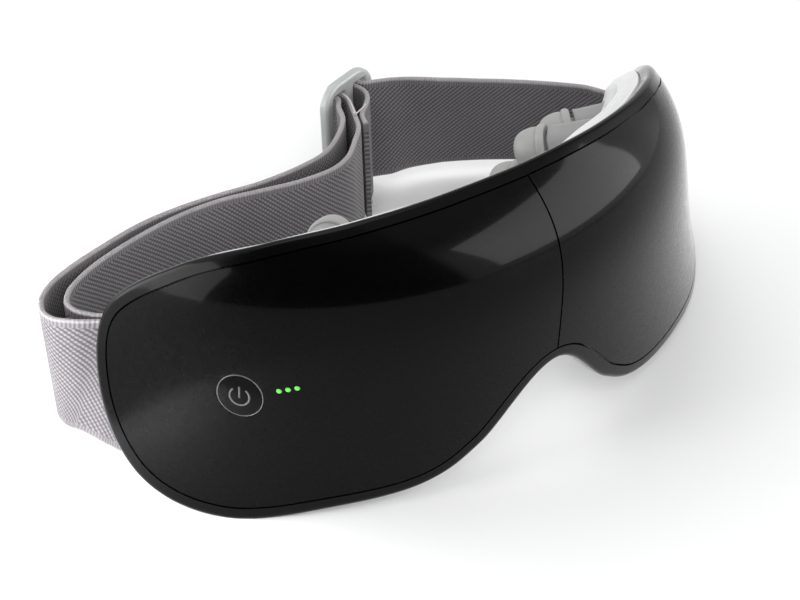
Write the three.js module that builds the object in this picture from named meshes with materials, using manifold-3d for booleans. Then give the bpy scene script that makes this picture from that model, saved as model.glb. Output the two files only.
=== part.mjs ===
// Eye massager goggles: a curved glossy visor worn in front of the eyes, with an elastic head strap.
// Millimetres, +Z up. The visor faces -Y, the wearer's face is on its +Y side, and X runs across the face.
// "left" is the -X side, the one with the power button.
import * as THREE from "three";
import { mergeVertices, mergeGeometries } from "three/addons/utils/BufferGeometryUtils.js";
import Module from "manifold-3d";

const wasm = await Module();
wasm.setup();

// Driving dimensions of the visor

const visor = {
  halfLength: 134, // from the middle round to the end of one wing, along the front face
  height: 90, // from the cheek lobes' lowest point to the brow
  bendLength: 100, // the length along the face that the bend's shares are counted in
  leanHeight: 45, // the height about which the front face leans
  leanSpan: 50, // the height over which the lean falls back by the two values below
  browLean: -3.5, // fall at the middle, where the face tips forward
  wingLean: 13.4, // fall that is added one bend length away from the middle
  browRoll: 22.2, // how far the brow's top edge rolls back at the middle
  wingRoll: 5.5, // roll that is added one bend length away from the middle
  probe: 0.5, // step for measuring slopes of the face
  gap: 0.35, // running gap between neighbouring pieces
};
const bendShares = [0.85, 0.347, -0.157]; // turn of the plan curve, as an odd polynomial
const rollPower = 9; // the roll keeps to the upper part of the face

// Half of the visor's outline, from the middle of the brow round the wing to the nose arch:
// shares of the half arc and of the height
const outlineShares = [
  [0, 1], [0.2, 0.991], [0.418, 0.958], [0.626, 0.897], [0.825, 0.783], [0.993, 0.575],
  [0.979, 0.332], [0.863, 0.089], [0.698, -0.004], [0.488, 0.032], [0.29, 0.065], [0.169, 0.164],
  [0, 0.396],
];

const bezel = { band: 4.3, depth: 4.2, ledge: 7.4, ledgeTop: 2.2, ledgeBack: 3.5, round: 0.6, lip: 2 };
const panel = { thickness: 1.8, groove: 0.55, seam: 0.5 };
const chassis = { thickness: 1.4, inset: 2.9, clearance: 0.4 };
const screw = { shank: 0.9, head: 1.8, headHeight: 1.1 };
const screwShares = [0.1, 0.4, 0.6, 0.9]; // where the screws sit, as shares of the way round the outline
const housing = {
  wall: 1.8,
  rimProud: 0.35, // the pale shell stands this far outside the black rim
  shoulder: 2.95, // how far its edge rounds in before the back begins
  depth: 25.5, // from the front face to the shell's back over the eyes
  noseShare: 0.42, // what is left of that depth over the nose
  noseSpan: 44, // arc length over which the full depth is reached
  spineSpread: 26,
  spineShare: 0.74, // the ridge line's length, as a share of the outline's
  knee: 6, // depth from which the rows run level instead of square to the face
};

// Heights on the visor, as shares of its own height
const levelShares = {
  spine: 0.5, // the ridge line that the shell's rows run to
  noseSpineRise: 0.189, // and how much higher that line lies over the nose
  button: 0.4556, battery: 0.38, pump: 0.25, valve: 0.689, speaker: 0.167, port: 0.0322, cushion: 0.422,
};
const heightOf = (name) => levelShares[name] * visor.height;

// The shell's rows from its ridge line out to its rim: shares of the way to the ridge, of the
// shoulder, of the depth and of the wall's thickness
const flankShares = [
  [1, 1, 1, 1], [0.65, 1, 0.976, 1], [0.42, 1, 0.905, 1], [0.25, 1, 0.738, 1], [0.12, 1, 0.547, 1],
  [0, 1, 0.38, 0.8], [0, 0.33, 0.236, 0.6], [0, 0, 0.093, 0.3], [0, 0, 0, 0],
];
const button = { along: -88, radius: 6.4, ring: 0.4, crownHeight: 0.35, flange: 0.8, flangeReach: 1.1 };
const stem = { radius: 1.4, end: 6.2, travel: 0.4 };
const tactile = { side: 6, height: 1.9, knob: 0.7, knobRadius: 1.6 };
const lamp = { first: 10.9, pitch: 2.5, rise: 15.6, radius: 0.75, span: 8, count: 3, collar: 1.05, foot: 1 };
const board = { span: 24, height: 20, thickness: 1.2, depth: 9.9, outerEnd: 4.3, down: 3.5 };
const battery = { along: 60, span: 38, height: 26, thickness: 5.5, depth: 9.5, corner: 2 };
const pump = {
  along: -54.5, depth: 12, radius: 4.1, motor: 16, pin: 0.9, pinLength: 6, disc: 2,
  discRadius: 2.8, throwOut: 1, head: 12, spout: 3.5,
};
const valve = { along: -26, depth: 10, span: 14, side: 7, plunger: 1.6, plungerLength: 10, bore: 7, travel: 1 };
const hose = { radius: 1.5, sides: 8, steps: 14 };
// Each hose's middle line up to the valve or from it: shares of the half length, of the height and
// of the shell's depth
const hoseShares = {
  left: [[-0.212, 0.244, 0.4], [-0.194, 0.322, 0.4], [-0.19, 0.444, 0.392], [-0.194, 0.556, 0.392]],
  right: [
    [-0.164, 0.789, 0.369], [-0.075, 0.822, 0.337], [0.075, 0.822, 0.337], [0.224, 0.8, 0.392],
    [0.373, 0.733, 0.431], [0.485, 0.65, 0.451],
  ],
};
const speaker = { along: 84, radius: 7, depth: 8, thickness: 3, magnet: 3, magnetRadius: 4.2 };
const port = { along: 60, depth: 9, width: 9, thickness: 3.3, height: 7, wall: 0.5, tongue: 6 };
const nub = {
  radius: 6.1, stem: 3.3, bead: 6.6, beadWidth: 2.6, cap: 7.5, flange: 4.3, flangeThickness: 1.2,
  travel: 3, neck: 0.4, headGap: 1, socketWall: 1.1, socketLip: 2, socketTaper: 0.3,
};
// Where each nub stands, as shares of the half length and of the height, and how deep the shell's
// surface lies there, as a share of the shell's depth
const nubShares = {
  inner_brow: [0.5149, 0.6333, 1.0145], outer_brow: [0.5224, 0.8078, 0.8157], temple: [0.806, 0.6122, 0.8765],
};
// How far each nub stands out of the shell, and how far its socket goes in
const nubProud = { inner_brow: 34.1, outer_brow: 25.9, temple: 17.3 };
const nubInside = { inner_brow: 4, outer_brow: 7.5, temple: 8 };
// Its slant from the face's own direction, in degrees sideways and down
const nubAngles = { inner_brow: [-5.7, 16], outer_brow: [3.8, 17.5], temple: [-5.5, 11.2] };
const nubs = Object.entries(nubShares).map(([name, [along, high, wall]]) => ({
  name,
  along: along * visor.halfLength,
  high: high * visor.height,
  wall: wall * housing.depth,
  reach: wall * housing.depth + nubProud[name],
  inside: nubInside[name],
  angles: nubAngles[name],
}));
const bellows = { radius: 4.2, fold: 0.9, start: 7.8, pleats: 4 };
const cushion = { along: 40, halfLength: 16, halfHeight: 14, thickness: 5, crownHeight: 2, seat: 1.4 };
const cornerPower = 0.72; // how square the pads' outline is
// The pad's rows: shares of its outline, of its thickness and of its crown
const padShares = [
  [0, 0, 0], [0.6, 0, 0], [0.9, 0, 0], [0.985, 0.12, 0], [1, 0.4, 0], [0.985, 0.7, 0], [0.93, 0.9, 0],
  [0.8, 1, 0.15], [0.55, 1, 0.6], [0.28, 1, 0.9], [0, 1, 1],
];
const film = { seat: 0.7, thickness: 0.3, margin: 5, corner: 7 };
const strap = {
  widthShare: 0.4222, // width of the webbing, as a share of the visor's height
  thickness: 1.6,
  lift: 0.8, // how far its middle line runs above the buckle's
  leanAngle: 14, // degrees by which the webbing's top leans in along its right run
  headDepth: 60, // the point that it leans towards lies this far behind the front
};
const strapSamples = 2; // rows of the webbing for each point of its route
const bar = { radius: 1.25, seat: 1.7, along: 97, depth: 10.6, boss: 3.2, bossReach: 4.5 };
const slot = { along: 116, span: 50, room: 0.8, rise: 1.1, front: 5.9, back: 16.8 };
const buckle = {
  span: 24.4, reach: 5.2, thickness: 3.4, corner: 7.5, outerBar: 4.1, centreBar: 4.4, endBar: 3.8,
  windowCorner: 1.6, angle: 18, x: 23.5, y: 136, bevel: 0.7,
};

// Sizes that follow the webbing's width
const webWidth = strap.widthShare * visor.height;
const buckleHeight = webWidth + buckle.reach + buckle.reach;
const strapLevel = buckleHeight / 2 + strap.lift;
const slotHeight = webWidth + slot.room + slot.room;
const barLength = slotHeight + bar.seat + bar.seat;

// The webbing's middle line seen from above, in order from its sewn end at the right wing. In the
// wings the points are arc and depth, at the buckle they are along it and towards the visor, and
// elsewhere they are across the face and towards the wearer.
const strapRoute = {
  rightTail: [[109, 13], [103, 12.9]],
  rightWing: [[104, 8.3], [112, 8.2], [121, 8.1], [129, 8.4], [133.5, 9]],
  right: [
    [98, 81.5], [95, 86.8], [90.8, 93], [83.8, 100.2], [74.4, 109.4], [64, 117.6], [53.5, 125], [43.6, 130.6],
  ],
  thread: [
    [12.6, 7.8], [8.9, 4.6], [6.4, 2.4], [5.5, -0.5], [4.8, -3], [2.6, -4.8], [0, -5.1], [-2.6, -4.8],
    [-4.8, -3], [-5.5, -0.5], [-6, 1.6], [-9.3, 4.4],
  ],
  outer: [
    [13, 122], [5.5, 114.5], [-2, 109.9], [-12, 108.2], [-26, 108.4], [-39, 110.6], [-52, 112], [-65, 111.8],
    [-79, 109], [-90, 106], [-97.5, 102.8], [-103, 98.2], [-105.6, 92.8], [-105.2, 88.6], [-102.6, 84.8], [-98.7, 81.4],
  ],
  leftOut: [[131.5, 9.6], [127, 9], [121, 8.4], [112, 8.2], [104, 8.3]],
  leftIn: [[104, 12.9], [112, 13], [121, 13.2], [127, 13.3], [131.5, 13.2]],
  inner: [
    [-94.8, 81.4], [-97.8, 84.6], [-99.4, 88.4], [-98.6, 92.5], [-95.4, 96.6], [-90, 100.2], [-82, 103.6],
    [-67, 107.2], [-53, 108.8], [-40, 108], [-28, 105], [-16, 102], [-4, 101.4], [3, 104.2], [9, 109.6], [14.4, 115.4],
  ],
  loop: [
    [-10.8, 12.3], [-7.2, 8], [-4.5, 4.6], [-3.5, 2], [-3.4, 0], [-3.3, -1.4], [-2, -2.8], [0, -3], [2, -2.8],
    [3.3, -1.4], [3.4, 0.4], [3.3, 2.8], [2.4, 6], [0, 8.8], [-4, 11], [-8.6, 13.2], [-12.2, 17.6],
  ],
};
// How much of its lean the webbing has at each point of its free runs
const leanShares = {
  right: [1.6, 1.3, 1.1, 1, 1, 0.9, 0.7, 0.3],
  outer: [0, 0, 0, 0, 0, 0, 0, 0, 0, 0, 0, 0, 0.1, 0.3, 0.8, 1.6],
  inner: [1.3, 0.8, 0.4, 0.1, 0, 0, 0, 0, 0, 0, 0, 0, 0, 0, 0, 0],
};

const DEG = Math.PI / 180;
const OVERRUN = 1; // how far a cutting tool runs past what it cuts
const WELD = 1e-3; // points closer than this are one

// Surface of the visor

// Turn of the plan curve's tangent, in radians, at an arc length from the middle.
function turn(arc) {
  const u = arc / visor.bendLength;
  const [a, b, c] = bendShares;
  return u * (a + u * u * (b + u * u * c));
}

// A point of the plan curve and its turn there, by summing short chords.
function plan(arc) {
  const chords = 48;
  const step = arc / chords;
  let x = 0;
  let y = 0;
  for (let i = 0; i < chords; i++) {
    const t = turn((i + 0.5) * step);
    x += Math.cos(t) * step;
    y += Math.sin(t) * step;
  }
  return { x, y, t: turn(arc) };
}

// How far the face falls back from the plan curve at a height.
function fall(arc, z) {
  const u2 = (arc / visor.bendLength) ** 2;
  const lean = ((visor.browLean + visor.wingLean * u2) * (z - visor.leanHeight)) / visor.leanSpan;
  const up = Math.max(z, 0) / visor.height;
  return lean + (visor.browRoll + visor.wingRoll * u2) * up ** rollPower;
}

// A point on the visor's front face.
function face(s, z) {
  const side = s < 0 ? -1 : 1;
  const arc = Math.abs(s);
  const { x, y, t } = plan(arc);
  const d = fall(arc, z);
  return new THREE.Vector3(side * (x - Math.sin(t) * d), y + Math.cos(t) * d, z);
}

// The face's slopes along its arc and up its height, and its unit normal towards the wearer.
function slopes(s, z) {
  const h = visor.probe;
  const along = face(s + h, z).sub(face(s - h, z)).divideScalar(h + h);
  const up = face(s, z + h).sub(face(s, z - h)).divideScalar(h + h);
  const inward = up.clone().cross(along).normalize();
  return { along, up, inward };
}

// A point at a depth behind the face: square to it near the front, and level further back.
function at(s, z, depth) {
  const { inward } = slopes(s, z);
  const near = Math.min(depth, housing.knee);
  const point = face(s, z).addScaledVector(inward, near);
  const side = s < 0 ? -1 : 1;
  const t = turn(Math.abs(s));
  const level = new THREE.Vector3(-side * Math.sin(t), Math.cos(t), 0);
  return point.addScaledVector(level, depth - near);
}

// A frame on the face: Z towards the wearer, X along the arc, and the origin at a depth.
function seat(s, z, depth, turned = 0) {
  const { along, inward } = slopes(s, z);
  const x = along.clone().normalize();
  const y = inward.clone().cross(x).normalize();
  const m = new THREE.Matrix4().makeBasis(x, y, inward);
  m.multiply(new THREE.Matrix4().makeRotationZ(turned));
  const origin = face(s, z).addScaledVector(inward, depth);
  return m.setPosition(origin);
}

// Rows and lofts

const HALF_STEPS = 30;
const outlineCurve = (() => {
  const point = ([a, h], side) => new THREE.Vector3(side * a * visor.halfLength, h * visor.height, 0);
  const right = outlineShares.map((share) => point(share, 1));
  const left = outlineShares.slice(1, -1).reverse().map((share) => point(share, -1));
  return new THREE.CatmullRomCurve3([...right, ...left], true, "catmullrom", 0.5);
})();

// A point of the outline, moved in from it by a width that is measured on the curved face.
function outline(i, steps, inset) {
  const t = i / steps;
  const { x: s, y: z } = outlineCurve.getPoint(t);
  const d = outlineCurve.getTangent(t);
  const { along, up, inward } = slopes(s, z);
  const way = along.clone().multiplyScalar(d.x).addScaledVector(up, d.y).normalize();
  const inside = inward.clone().cross(way);
  const upUp = up.dot(up);
  const alongAlong = along.dot(along);
  const mixed = along.dot(up);
  const det = alongAlong * upUp - mixed * mixed;
  const p = inside.dot(along);
  const q = inside.dot(up);
  return [s + (inset * (p * upUp - q * mixed)) / det, z + (inset * (q * alongAlong - p * mixed)) / det];
}

// The ridge point that an outline point's row is pulled to. A point of the brow and the one below it
// on the cheek share theirs, so that the rows close on the ridge line.
function ridge(i, steps) {
  const partner = (steps / 2 - i + steps) % steps;
  const mean = (outline(i, steps, 0)[0] + outline(partner, steps, 0)[0]) / 2;
  const s = mean * housing.spineShare;
  const z = heightOf("spine") + heightOf("noseSpineRise") * Math.exp(-((s / housing.spineSpread) ** 2));
  return [s, z];
}

// One ring of points round the visor: inset from the outline, then pulled towards the ridge.
function ring({ inset = 0, pull = 0, depth }, steps) {
  const row = [];
  for (let i = 0; i < steps; i++) {
    const [s0, z0] = outline(i, steps, inset);
    const [s1, z1] = ridge(i, steps);
    const s = s0 + (s1 - s0) * pull;
    const z = z0 + (z1 - z0) * pull;
    row.push(at(s, z, typeof depth === "function" ? depth(s, z) : depth));
  }
  return row;
}

// Joins rows of points into one surface. Rows close on themselves where round is true, and the last
// row joins the first where loop is true.
function skin(rows, { round = true, loop = false } = {}) {
  const n = rows[0].length;
  const position = rows.flat().flatMap((p) => [p.x, p.y, p.z]);
  const index = [];
  const rowCount = loop ? rows.length : rows.length - 1;
  for (let r = 0; r < rowCount; r++) {
    const a = r * n;
    const b = ((r + 1) % rows.length) * n;
    for (let i = 0; i < (round ? n : n - 1); i++) {
      const j = (i + 1) % n;
      index.push(a + i, a + j, b + j, a + i, b + j, b + i);
    }
  }
  return raw(position, index);
}

function raw(position, index) {
  const g = new THREE.BufferGeometry();
  g.setAttribute("position", new THREE.Float32BufferAttribute(position, 3));
  g.setIndex(index);
  return g;
}

// Turns the triangles so that neighbours agree on their shared edge.
function agreeing(index) {
  const count = index.length / 3;
  const byEdge = new Map();
  const key = (a, b) => (a < b ? `${a}_${b}` : `${b}_${a}`);
  for (let f = 0; f < count; f++) {
    for (let k = 0; k < 3; k++) {
      const id = key(index[3 * f + k], index[3 * f + ((k + 1) % 3)]);
      if (!byEdge.has(id)) byEdge.set(id, []);
      byEdge.get(id).push(f);
    }
  }
  const runs = (f, a, b) => [0, 1, 2].some((k) => index[3 * f + k] === a && index[3 * f + ((k + 1) % 3)] === b);
  const seen = new Array(count).fill(false);
  for (let first = 0; first < count; first++) {
    if (seen[first]) continue;
    seen[first] = true;
    const queue = [first];
    while (queue.length) {
      const f = queue.pop();
      for (let k = 0; k < 3; k++) {
        const a = index[3 * f + k];
        const b = index[3 * f + ((k + 1) % 3)];
        for (const g of byEdge.get(key(a, b))) {
          if (seen[g]) continue;
          seen[g] = true;
          queue.push(g);
          if (runs(g, a, b)) [index[3 * g], index[3 * g + 1]] = [index[3 * g + 1], index[3 * g]];
        }
      }
    }
  }
  return index;
}

// Merges shared vertices, drops flat triangles and turns the faces out.
function closed(geometry) {
  const g = geometry.clone();
  for (const name of Object.keys(g.attributes)) if (name !== "position") g.deleteAttribute(name);
  const merged = mergeVertices(g, WELD);
  const id = merged.index.array;
  let kept = [];
  for (let i = 0; i < id.length; i += 3) {
    const [a, b, c] = [id[i], id[i + 1], id[i + 2]];
    if (a !== b && b !== c && c !== a) kept.push(a, b, c);
  }
  kept = agreeing(kept);
  const p = merged.attributes.position;
  let volume = 0;
  const [A, B, C] = [new THREE.Vector3(), new THREE.Vector3(), new THREE.Vector3()];
  for (let i = 0; i < kept.length; i += 3) {
    A.fromBufferAttribute(p, kept[i]);
    B.fromBufferAttribute(p, kept[i + 1]);
    C.fromBufferAttribute(p, kept[i + 2]);
    volume += A.dot(B.cross(C));
  }
  if (volume < 0) for (let i = 0; i < kept.length; i += 3) [kept[i], kept[i + 1]] = [kept[i + 1], kept[i]];
  merged.setIndex(kept);
  return merged;
}

function solid(geometry) {
  const g = closed(geometry);
  return new wasm.Manifold(
    new wasm.Mesh({
      numProp: 3,
      vertProperties: new Float32Array(g.attributes.position.array),
      triVerts: new Uint32Array(g.index.array),
    }),
  );
}

function geometryOf(manifold) {
  const m = manifold.simplify(WELD + WELD).getMesh();
  return raw(Array.from(m.vertProperties), Array.from(m.triVerts));
}

function cut(geometry, tools) {
  return geometryOf(tools.reduce((body, tool) => body.subtract(solid(tool)), solid(geometry)));
}

function join(geometries) {
  return geometryOf(geometries.slice(1).reduce((body, g) => body.add(solid(g)), solid(geometries[0])));
}

// Simple shapes, all along +Z from their origin unless they say otherwise

function rod(radius, length, { start = 0, sides = 20, top = radius } = {}) {
  const g = new THREE.CylinderGeometry(top, radius, length, sides);
  return g.rotateX(Math.PI / 2).translate(0, 0, start + length / 2);
}

function block(x, y, z) {
  return new THREE.BoxGeometry(x, y, z);
}

// A turned piece: the profile's points are radius and height, from axis to axis.
function turned(profile, sides = 20) {
  const points = profile.map(([r, z]) => new THREE.Vector2(r, z));
  return new THREE.LatheGeometry(points, sides).rotateX(Math.PI / 2);
}

// A slab that follows the face, between two arcs, two heights and two depths.
function bentSlab({ along, high, span, height, front, back, columns = 8, rowsUp = 2, corner = 0 }) {
  const loop = [];
  const half = span / 2 - corner;
  const tall = height / 2 - corner;
  const quarter = corner > 0 ? 3 : 0;
  const cornerAt = (x, z, from) => {
    for (let k = 0; k <= quarter; k++) {
      const a = (from + (90 * k) / Math.max(quarter, 1)) * DEG;
      loop.push([x + corner * Math.cos(a), z + corner * Math.sin(a)]);
    }
  };
  const side = (from, to, count) => {
    for (let k = 1; k < count; k++) {
      loop.push([from[0] + ((to[0] - from[0]) * k) / count, from[1] + ((to[1] - from[1]) * k) / count]);
    }
  };
  cornerAt(half, tall, 0);
  side([half, tall + corner], [-half, tall + corner], columns);
  cornerAt(-half, tall, 90);
  side([-half - corner, tall], [-half - corner, -tall], rowsUp);
  cornerAt(-half, -tall, 180);
  side([-half, -tall - corner], [half, -tall - corner], columns);
  cornerAt(half, -tall, 270);
  side([half + corner, -tall], [half + corner, tall], rowsUp);
  const row = (share, depth) => loop.map(([x, z]) => {
    const up = high + z * share;
    return at(along + x, up, typeof depth === "function" ? depth(along + x, up) : depth);
  });
  return skin([row(0, front), row(0.5, front), row(1, front), row(1, back), row(0.5, back), row(0, back)]);
}

// The model and its materials

const model = new THREE.Group();

function paint(color, roughness, metalness = 0) {
  return new THREE.MeshStandardMaterial({ color, roughness, metalness });
}
const finish = {
  gloss: () => paint(0x0b0b0c, 0.08),
  rim: () => paint(0x18181a, 0.16),
  satinBlack: () => paint(0x1b1b1d, 0.5),
  shell: () => paint(0xe4e5e6, 0.45),
  silicone: () => paint(0xb4b6b5, 0.6),
  webbing: () => paint(0x77757a, 0.95),
  buckle: () => paint(0xb9bdbc, 0.5),
  steel: () => paint(0xc6c8ca, 0.35, 1),
  boardGreen: () => paint(0x1d5a3a, 0.6),
  foil: () => paint(0xb0b4b8, 0.4, 0.3),
  darkPlastic: () => paint(0x2a2b2d, 0.6),
  clear: () => paint(0x7bf08a, 0.3),
  amber: () => paint(0xc07a2c, 0.5),
  tube: () => paint(0xd9dde0, 0.4),
  copper: () => paint(0xb87333, 0.35, 1),
};

function add(name, geometry, material, matrix = null) {
  const g = closed(geometry);
  if (matrix) g.applyMatrix4(matrix);
  g.computeVertexNormals();
  const mesh = new THREE.Mesh(g, material());
  mesh.name = name;
  model.add(mesh);
  return mesh;
}

const sides = [["left", -1], ["right", 1]];

// Front: rim, two panels and the frame that carries them

function makeBezel() {
  const { band, depth, ledge, ledgeTop, ledgeBack, round, lip } = bezel;
  const section = [
    [band, round / 2], [band - round, 0], [lip, 0], [round, round], [0, ledgeTop - round],
    [0, depth], [lip, depth], [lip + round, ledgeBack], [ledge, ledgeBack], [ledge, ledgeTop],
    [band, ledgeTop],
  ];
  const steps = 2 * HALF_STEPS;
  return skin(section.map(([inset, d]) => ring({ inset, depth: d }, steps)), { loop: true });
}

// One half of the glossy front, up to the seam in the middle.
function makePanel(side) {
  const steps = 2 * HALF_STEPS;
  const rows = [
    { pull: 1, depth: 0 }, { pull: 0.7, depth: 0 }, { pull: 0.42, depth: 0 }, { pull: 0.2, depth: 0 },
    { pull: 0.07, depth: 0 }, { pull: 0, depth: 0 }, { pull: 0, depth: panel.thickness },
    ...[0.07, 0.2, 0.42, 0.7, 1].map((pull) => ({ pull, depth: panel.thickness })),
  ];
  const inset = bezel.band + panel.groove;
  const line = rows.map(({ pull, depth }) => {
    const row = [];
    for (let k = 0; k <= HALF_STEPS; k++) {
      const [s0, z0] = outline(k, steps, inset);
      const [s1, z1] = ridge(k, steps);
      const s = Math.max(s0 + (s1 - s0) * pull, panel.seam / 2);
      row.push(at(side * s, z0 + (z1 - z0) * pull, depth));
    }
    return row;
  });
  const front = line.slice(0, 6);
  const back = line.slice(6);
  const seam = [0, HALF_STEPS].map((k) => {
    const a = front.map((row) => row[k]);
    const b = [...back.map((row) => row[k]).reverse()];
    return seamWall(a, b);
  });
  return mergeGeometries([skin(line, { round: false }), ...seam]);
}

// The wall between a front edge and a back edge that share their first points' direction: a fan of
// triangles from edge to edge.
function seamWall(front, back) {
  const points = [...front, ...back.reverse()];
  const position = points.flatMap((p) => [p.x, p.y, p.z]);
  const index = [];
  const last = points.length - 1;
  let a = 0;
  let b = last;
  while (b - a > 1) {
    const forward = points[a + 1].distanceTo(points[b]);
    const backward = points[a].distanceTo(points[b - 1]);
    if (forward <= backward) {
      index.push(a, a + 1, b);
      a += 1;
    } else {
      index.push(a, b - 1, b);
      b -= 1;
    }
  }
  return raw(position, index);
}

// Frame of an axis that stands square to the face in plan, slanted by degrees sideways and down.
function spoke({ along, high, angles: [yaw, droop] }, side) {
  const t = turn(along) + yaw * DEG;
  const way = new THREE.Vector3(-side * Math.sin(t), Math.cos(t), -Math.tan(droop * DEG)).normalize();
  const x = new THREE.Vector3(0, 0, 1).cross(way).normalize();
  const y = way.clone().cross(x);
  return new THREE.Matrix4().makeBasis(x, y, way).setPosition(face(side * along, high));
}

function lampPlaces() {
  const rise = lamp.rise * DEG;
  return Array.from({ length: lamp.count }, (_, k) => {
    const away = lamp.first + k * lamp.pitch;
    return seat(button.along + away * Math.cos(rise), heightOf("button") + away * Math.sin(rise), 0);
  });
}

function screwPlaces() {
  const steps = 2 * HALF_STEPS;
  return screwShares.map((share) => {
    const [s, z] = outline(share * steps, steps, (bezel.ledge + bezel.band) / 2);
    return seat(s, z, 0);
  });
}

// The flat frame behind the panels, which carries the front's parts.
function makeChassis() {
  const front = bezel.ledgeBack + chassis.clearance;
  const back = front + chassis.thickness;
  const row = (pull, depth) => ring({ inset: chassis.inset, pull, depth }, 2 * HALF_STEPS);
  const pulls = [0, 0.15, 0.5, 1];
  const rows = [...[...pulls].reverse().map((pull) => row(pull, front)), ...pulls.map((pull) => row(pull, back))];
  const through = (radius) => rod(radius, back + OVERRUN, { start: OVERRUN / 2, sides: 12 });
  const holes = [through(stem.radius + visor.gap).applyMatrix4(buttonFrame())];
  lampPlaces().forEach((place) => holes.push(through(lamp.radius + visor.gap).applyMatrix4(place)));
  screwPlaces().forEach((place) => holes.push(through(screw.shank + visor.gap).applyMatrix4(place)));
  return cut(skin(rows), holes);
}

function makeScrew() {
  const top = bezel.ledgeBack + chassis.clearance + chassis.thickness + visor.gap + visor.gap;
  const tip = bezel.ledgeTop + visor.gap;
  return turned([
    [0, tip], [screw.shank, tip], [screw.shank, top], [screw.head, top], [screw.head, top + screw.headHeight],
    [0, top + screw.headHeight],
  ], 12);
}

// Rear shell

function rimDepth() {
  return bezel.depth + visor.gap;
}

// The share of the shell's depth that is left at an arc length: it is shallow over the nose.
function openShare(s) {
  const u = Math.min(Math.abs(s) / housing.noseSpan, 1);
  return housing.noseShare + (1 - housing.noseShare) * u * u * (3 - u - u);
}

// One row of the shell, on its outside or, a wall's thickness in, on its inside.
function shellRow([pull, shoulder, depth, thick], inside) {
  const wall = inside ? housing.wall : 0;
  const full = (housing.depth - rimDepth()) * depth - wall * thick;
  return ring({
    inset: housing.shoulder * shoulder - housing.rimProud + wall,
    pull,
    depth: (s) => rimDepth() + Math.max(full, 0) * openShare(s),
  }, 2 * HALF_STEPS);
}

// Depth of the shell's back at a place, for the pieces that lie on it.
function backAt(s, z) {
  const share = Math.abs(s) / visor.halfLength;
  const edge = (from, to) => {
    for (let i = from; i !== to; i += Math.sign(to - from)) {
      const [a, b] = [outlineShares[i], outlineShares[i + Math.sign(to - from)]];
      if (share <= b[0]) return (a[1] + ((b[1] - a[1]) * (share - a[0])) / (b[0] - a[0])) * visor.height;
    }
    return heightOf("spine");
  };
  const spine = heightOf("spine") + heightOf("noseSpineRise") * Math.exp(-((s / housing.spineSpread) ** 2));
  const border = z > spine ? edge(0, 5) - housing.shoulder : edge(outlineShares.length - 1, 5) + housing.shoulder;
  const pull = Math.min(Math.max((z - border) / (spine - border), 0), 1);
  const rows = flankShares.filter(([, shoulder]) => shoulder === 1);
  const k = Math.max(rows.findIndex(([p], i) => i > 0 && pull >= p), 1);
  const [[p0, , d0], [p1, , d1]] = [rows[k - 1], rows[k]];
  const depth = d1 + ((d0 - d1) * (pull - p1)) / (p0 - p1);
  return rimDepth() + (housing.depth - rimDepth()) * depth * openShare(s);
}

function makeHousing() {
  const outer = flankShares.map((row) => shellRow(row, false));
  const inner = flankShares.map((row) => shellRow(row, true)).reverse();
  const lid = ring({ inset: -housing.rimProud, pull: 1, depth: rimDepth() }, 2 * HALF_STEPS);
  const envelope = solid(skin([...outer, lid]));
  const bosses = sides.flatMap(([, side]) => barBosses(side)).map((boss) => solid(boss).intersect(envelope));
  const body = bosses.reduce((whole, boss) => whole.add(boss), solid(skin([...outer, ...inner])));
  const tools = sides.flatMap(([, side]) => [barTool(side), slotTool(side), ...nubs.map((n) => nubHole(n, side))]);
  return geometryOf([...tools, portTool(), floorTool()].reduce((shell, tool) => shell.subtract(solid(tool)), body));
}

// A block below the floor, which cuts the lobes' flat feet.
function floorTool() {
  const size = visor.height;
  const reach = visor.halfLength + visor.halfLength;
  return block(reach, reach, size).translate(0, size, -size / 2);
}

function nubHole(n, side) {
  const start = n.wall - n.inside - visor.gap;
  const reach = socketMouth(n) - start;
  return rod(socketRadius() + visor.gap, reach, { start }).applyMatrix4(spoke(n, side));
}

// Power button, its switch and its lights

function buttonFrame() {
  return seat(button.along, heightOf("button"), 0);
}

function makeButton() {
  const { radius, crownHeight: crown, ring: edge, flange, flangeReach } = button;
  const under = panel.thickness + visor.gap + visor.gap;
  return turned([
    [0, -crown], [radius / 2, -crown * 0.75], [radius - edge, 0], [radius, edge], [radius, under],
    [radius + flangeReach, under], [radius + flangeReach, under + flange], [stem.radius, under + flange],
    [stem.radius, stem.end], [0, stem.end],
  ], 28);
}

// A cutter round the button, through the panel.
function buttonTool() {
  return rod(button.radius + button.ring, panel.thickness + OVERRUN + OVERRUN, { start: -OVERRUN, sides: 28 })
    .applyMatrix4(buttonFrame());
}

function makeSwitch() {
  const top = stem.end + stem.travel + visor.gap;
  return turned([
    [0, top], [tactile.knobRadius, top], [tactile.knobRadius, top + tactile.knob],
    [tactile.side / 2, top + tactile.knob], [tactile.side / 2, top + tactile.knob + tactile.height],
    [0, top + tactile.knob + tactile.height],
  ], 16);
}

function makeLamp() {
  const start = bezel.ledgeBack + chassis.clearance + chassis.thickness + visor.gap + visor.gap;
  return turned([
    [0, 0], [lamp.radius, 0], [lamp.radius, start], [lamp.collar, start], [lamp.collar, start + lamp.foot],
    [lamp.radius, start + lamp.foot], [lamp.radius, lamp.span], [0, lamp.span],
  ], 8);
}

// Massage nubs: each slides in a socket in the rear shell and is pushed out by bellows behind it

// Where the socket ends, a small gap below the nub's head.
function socketMouth({ reach }) {
  return reach - nub.cap - nub.beadWidth - nub.headGap;
}

// Depth of a nub's foot, with its flange one travel below the socket's lip.
function nubFoot(n) {
  return socketMouth(n) - nub.socketLip - visor.gap - nub.travel - nub.flangeThickness;
}

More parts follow.
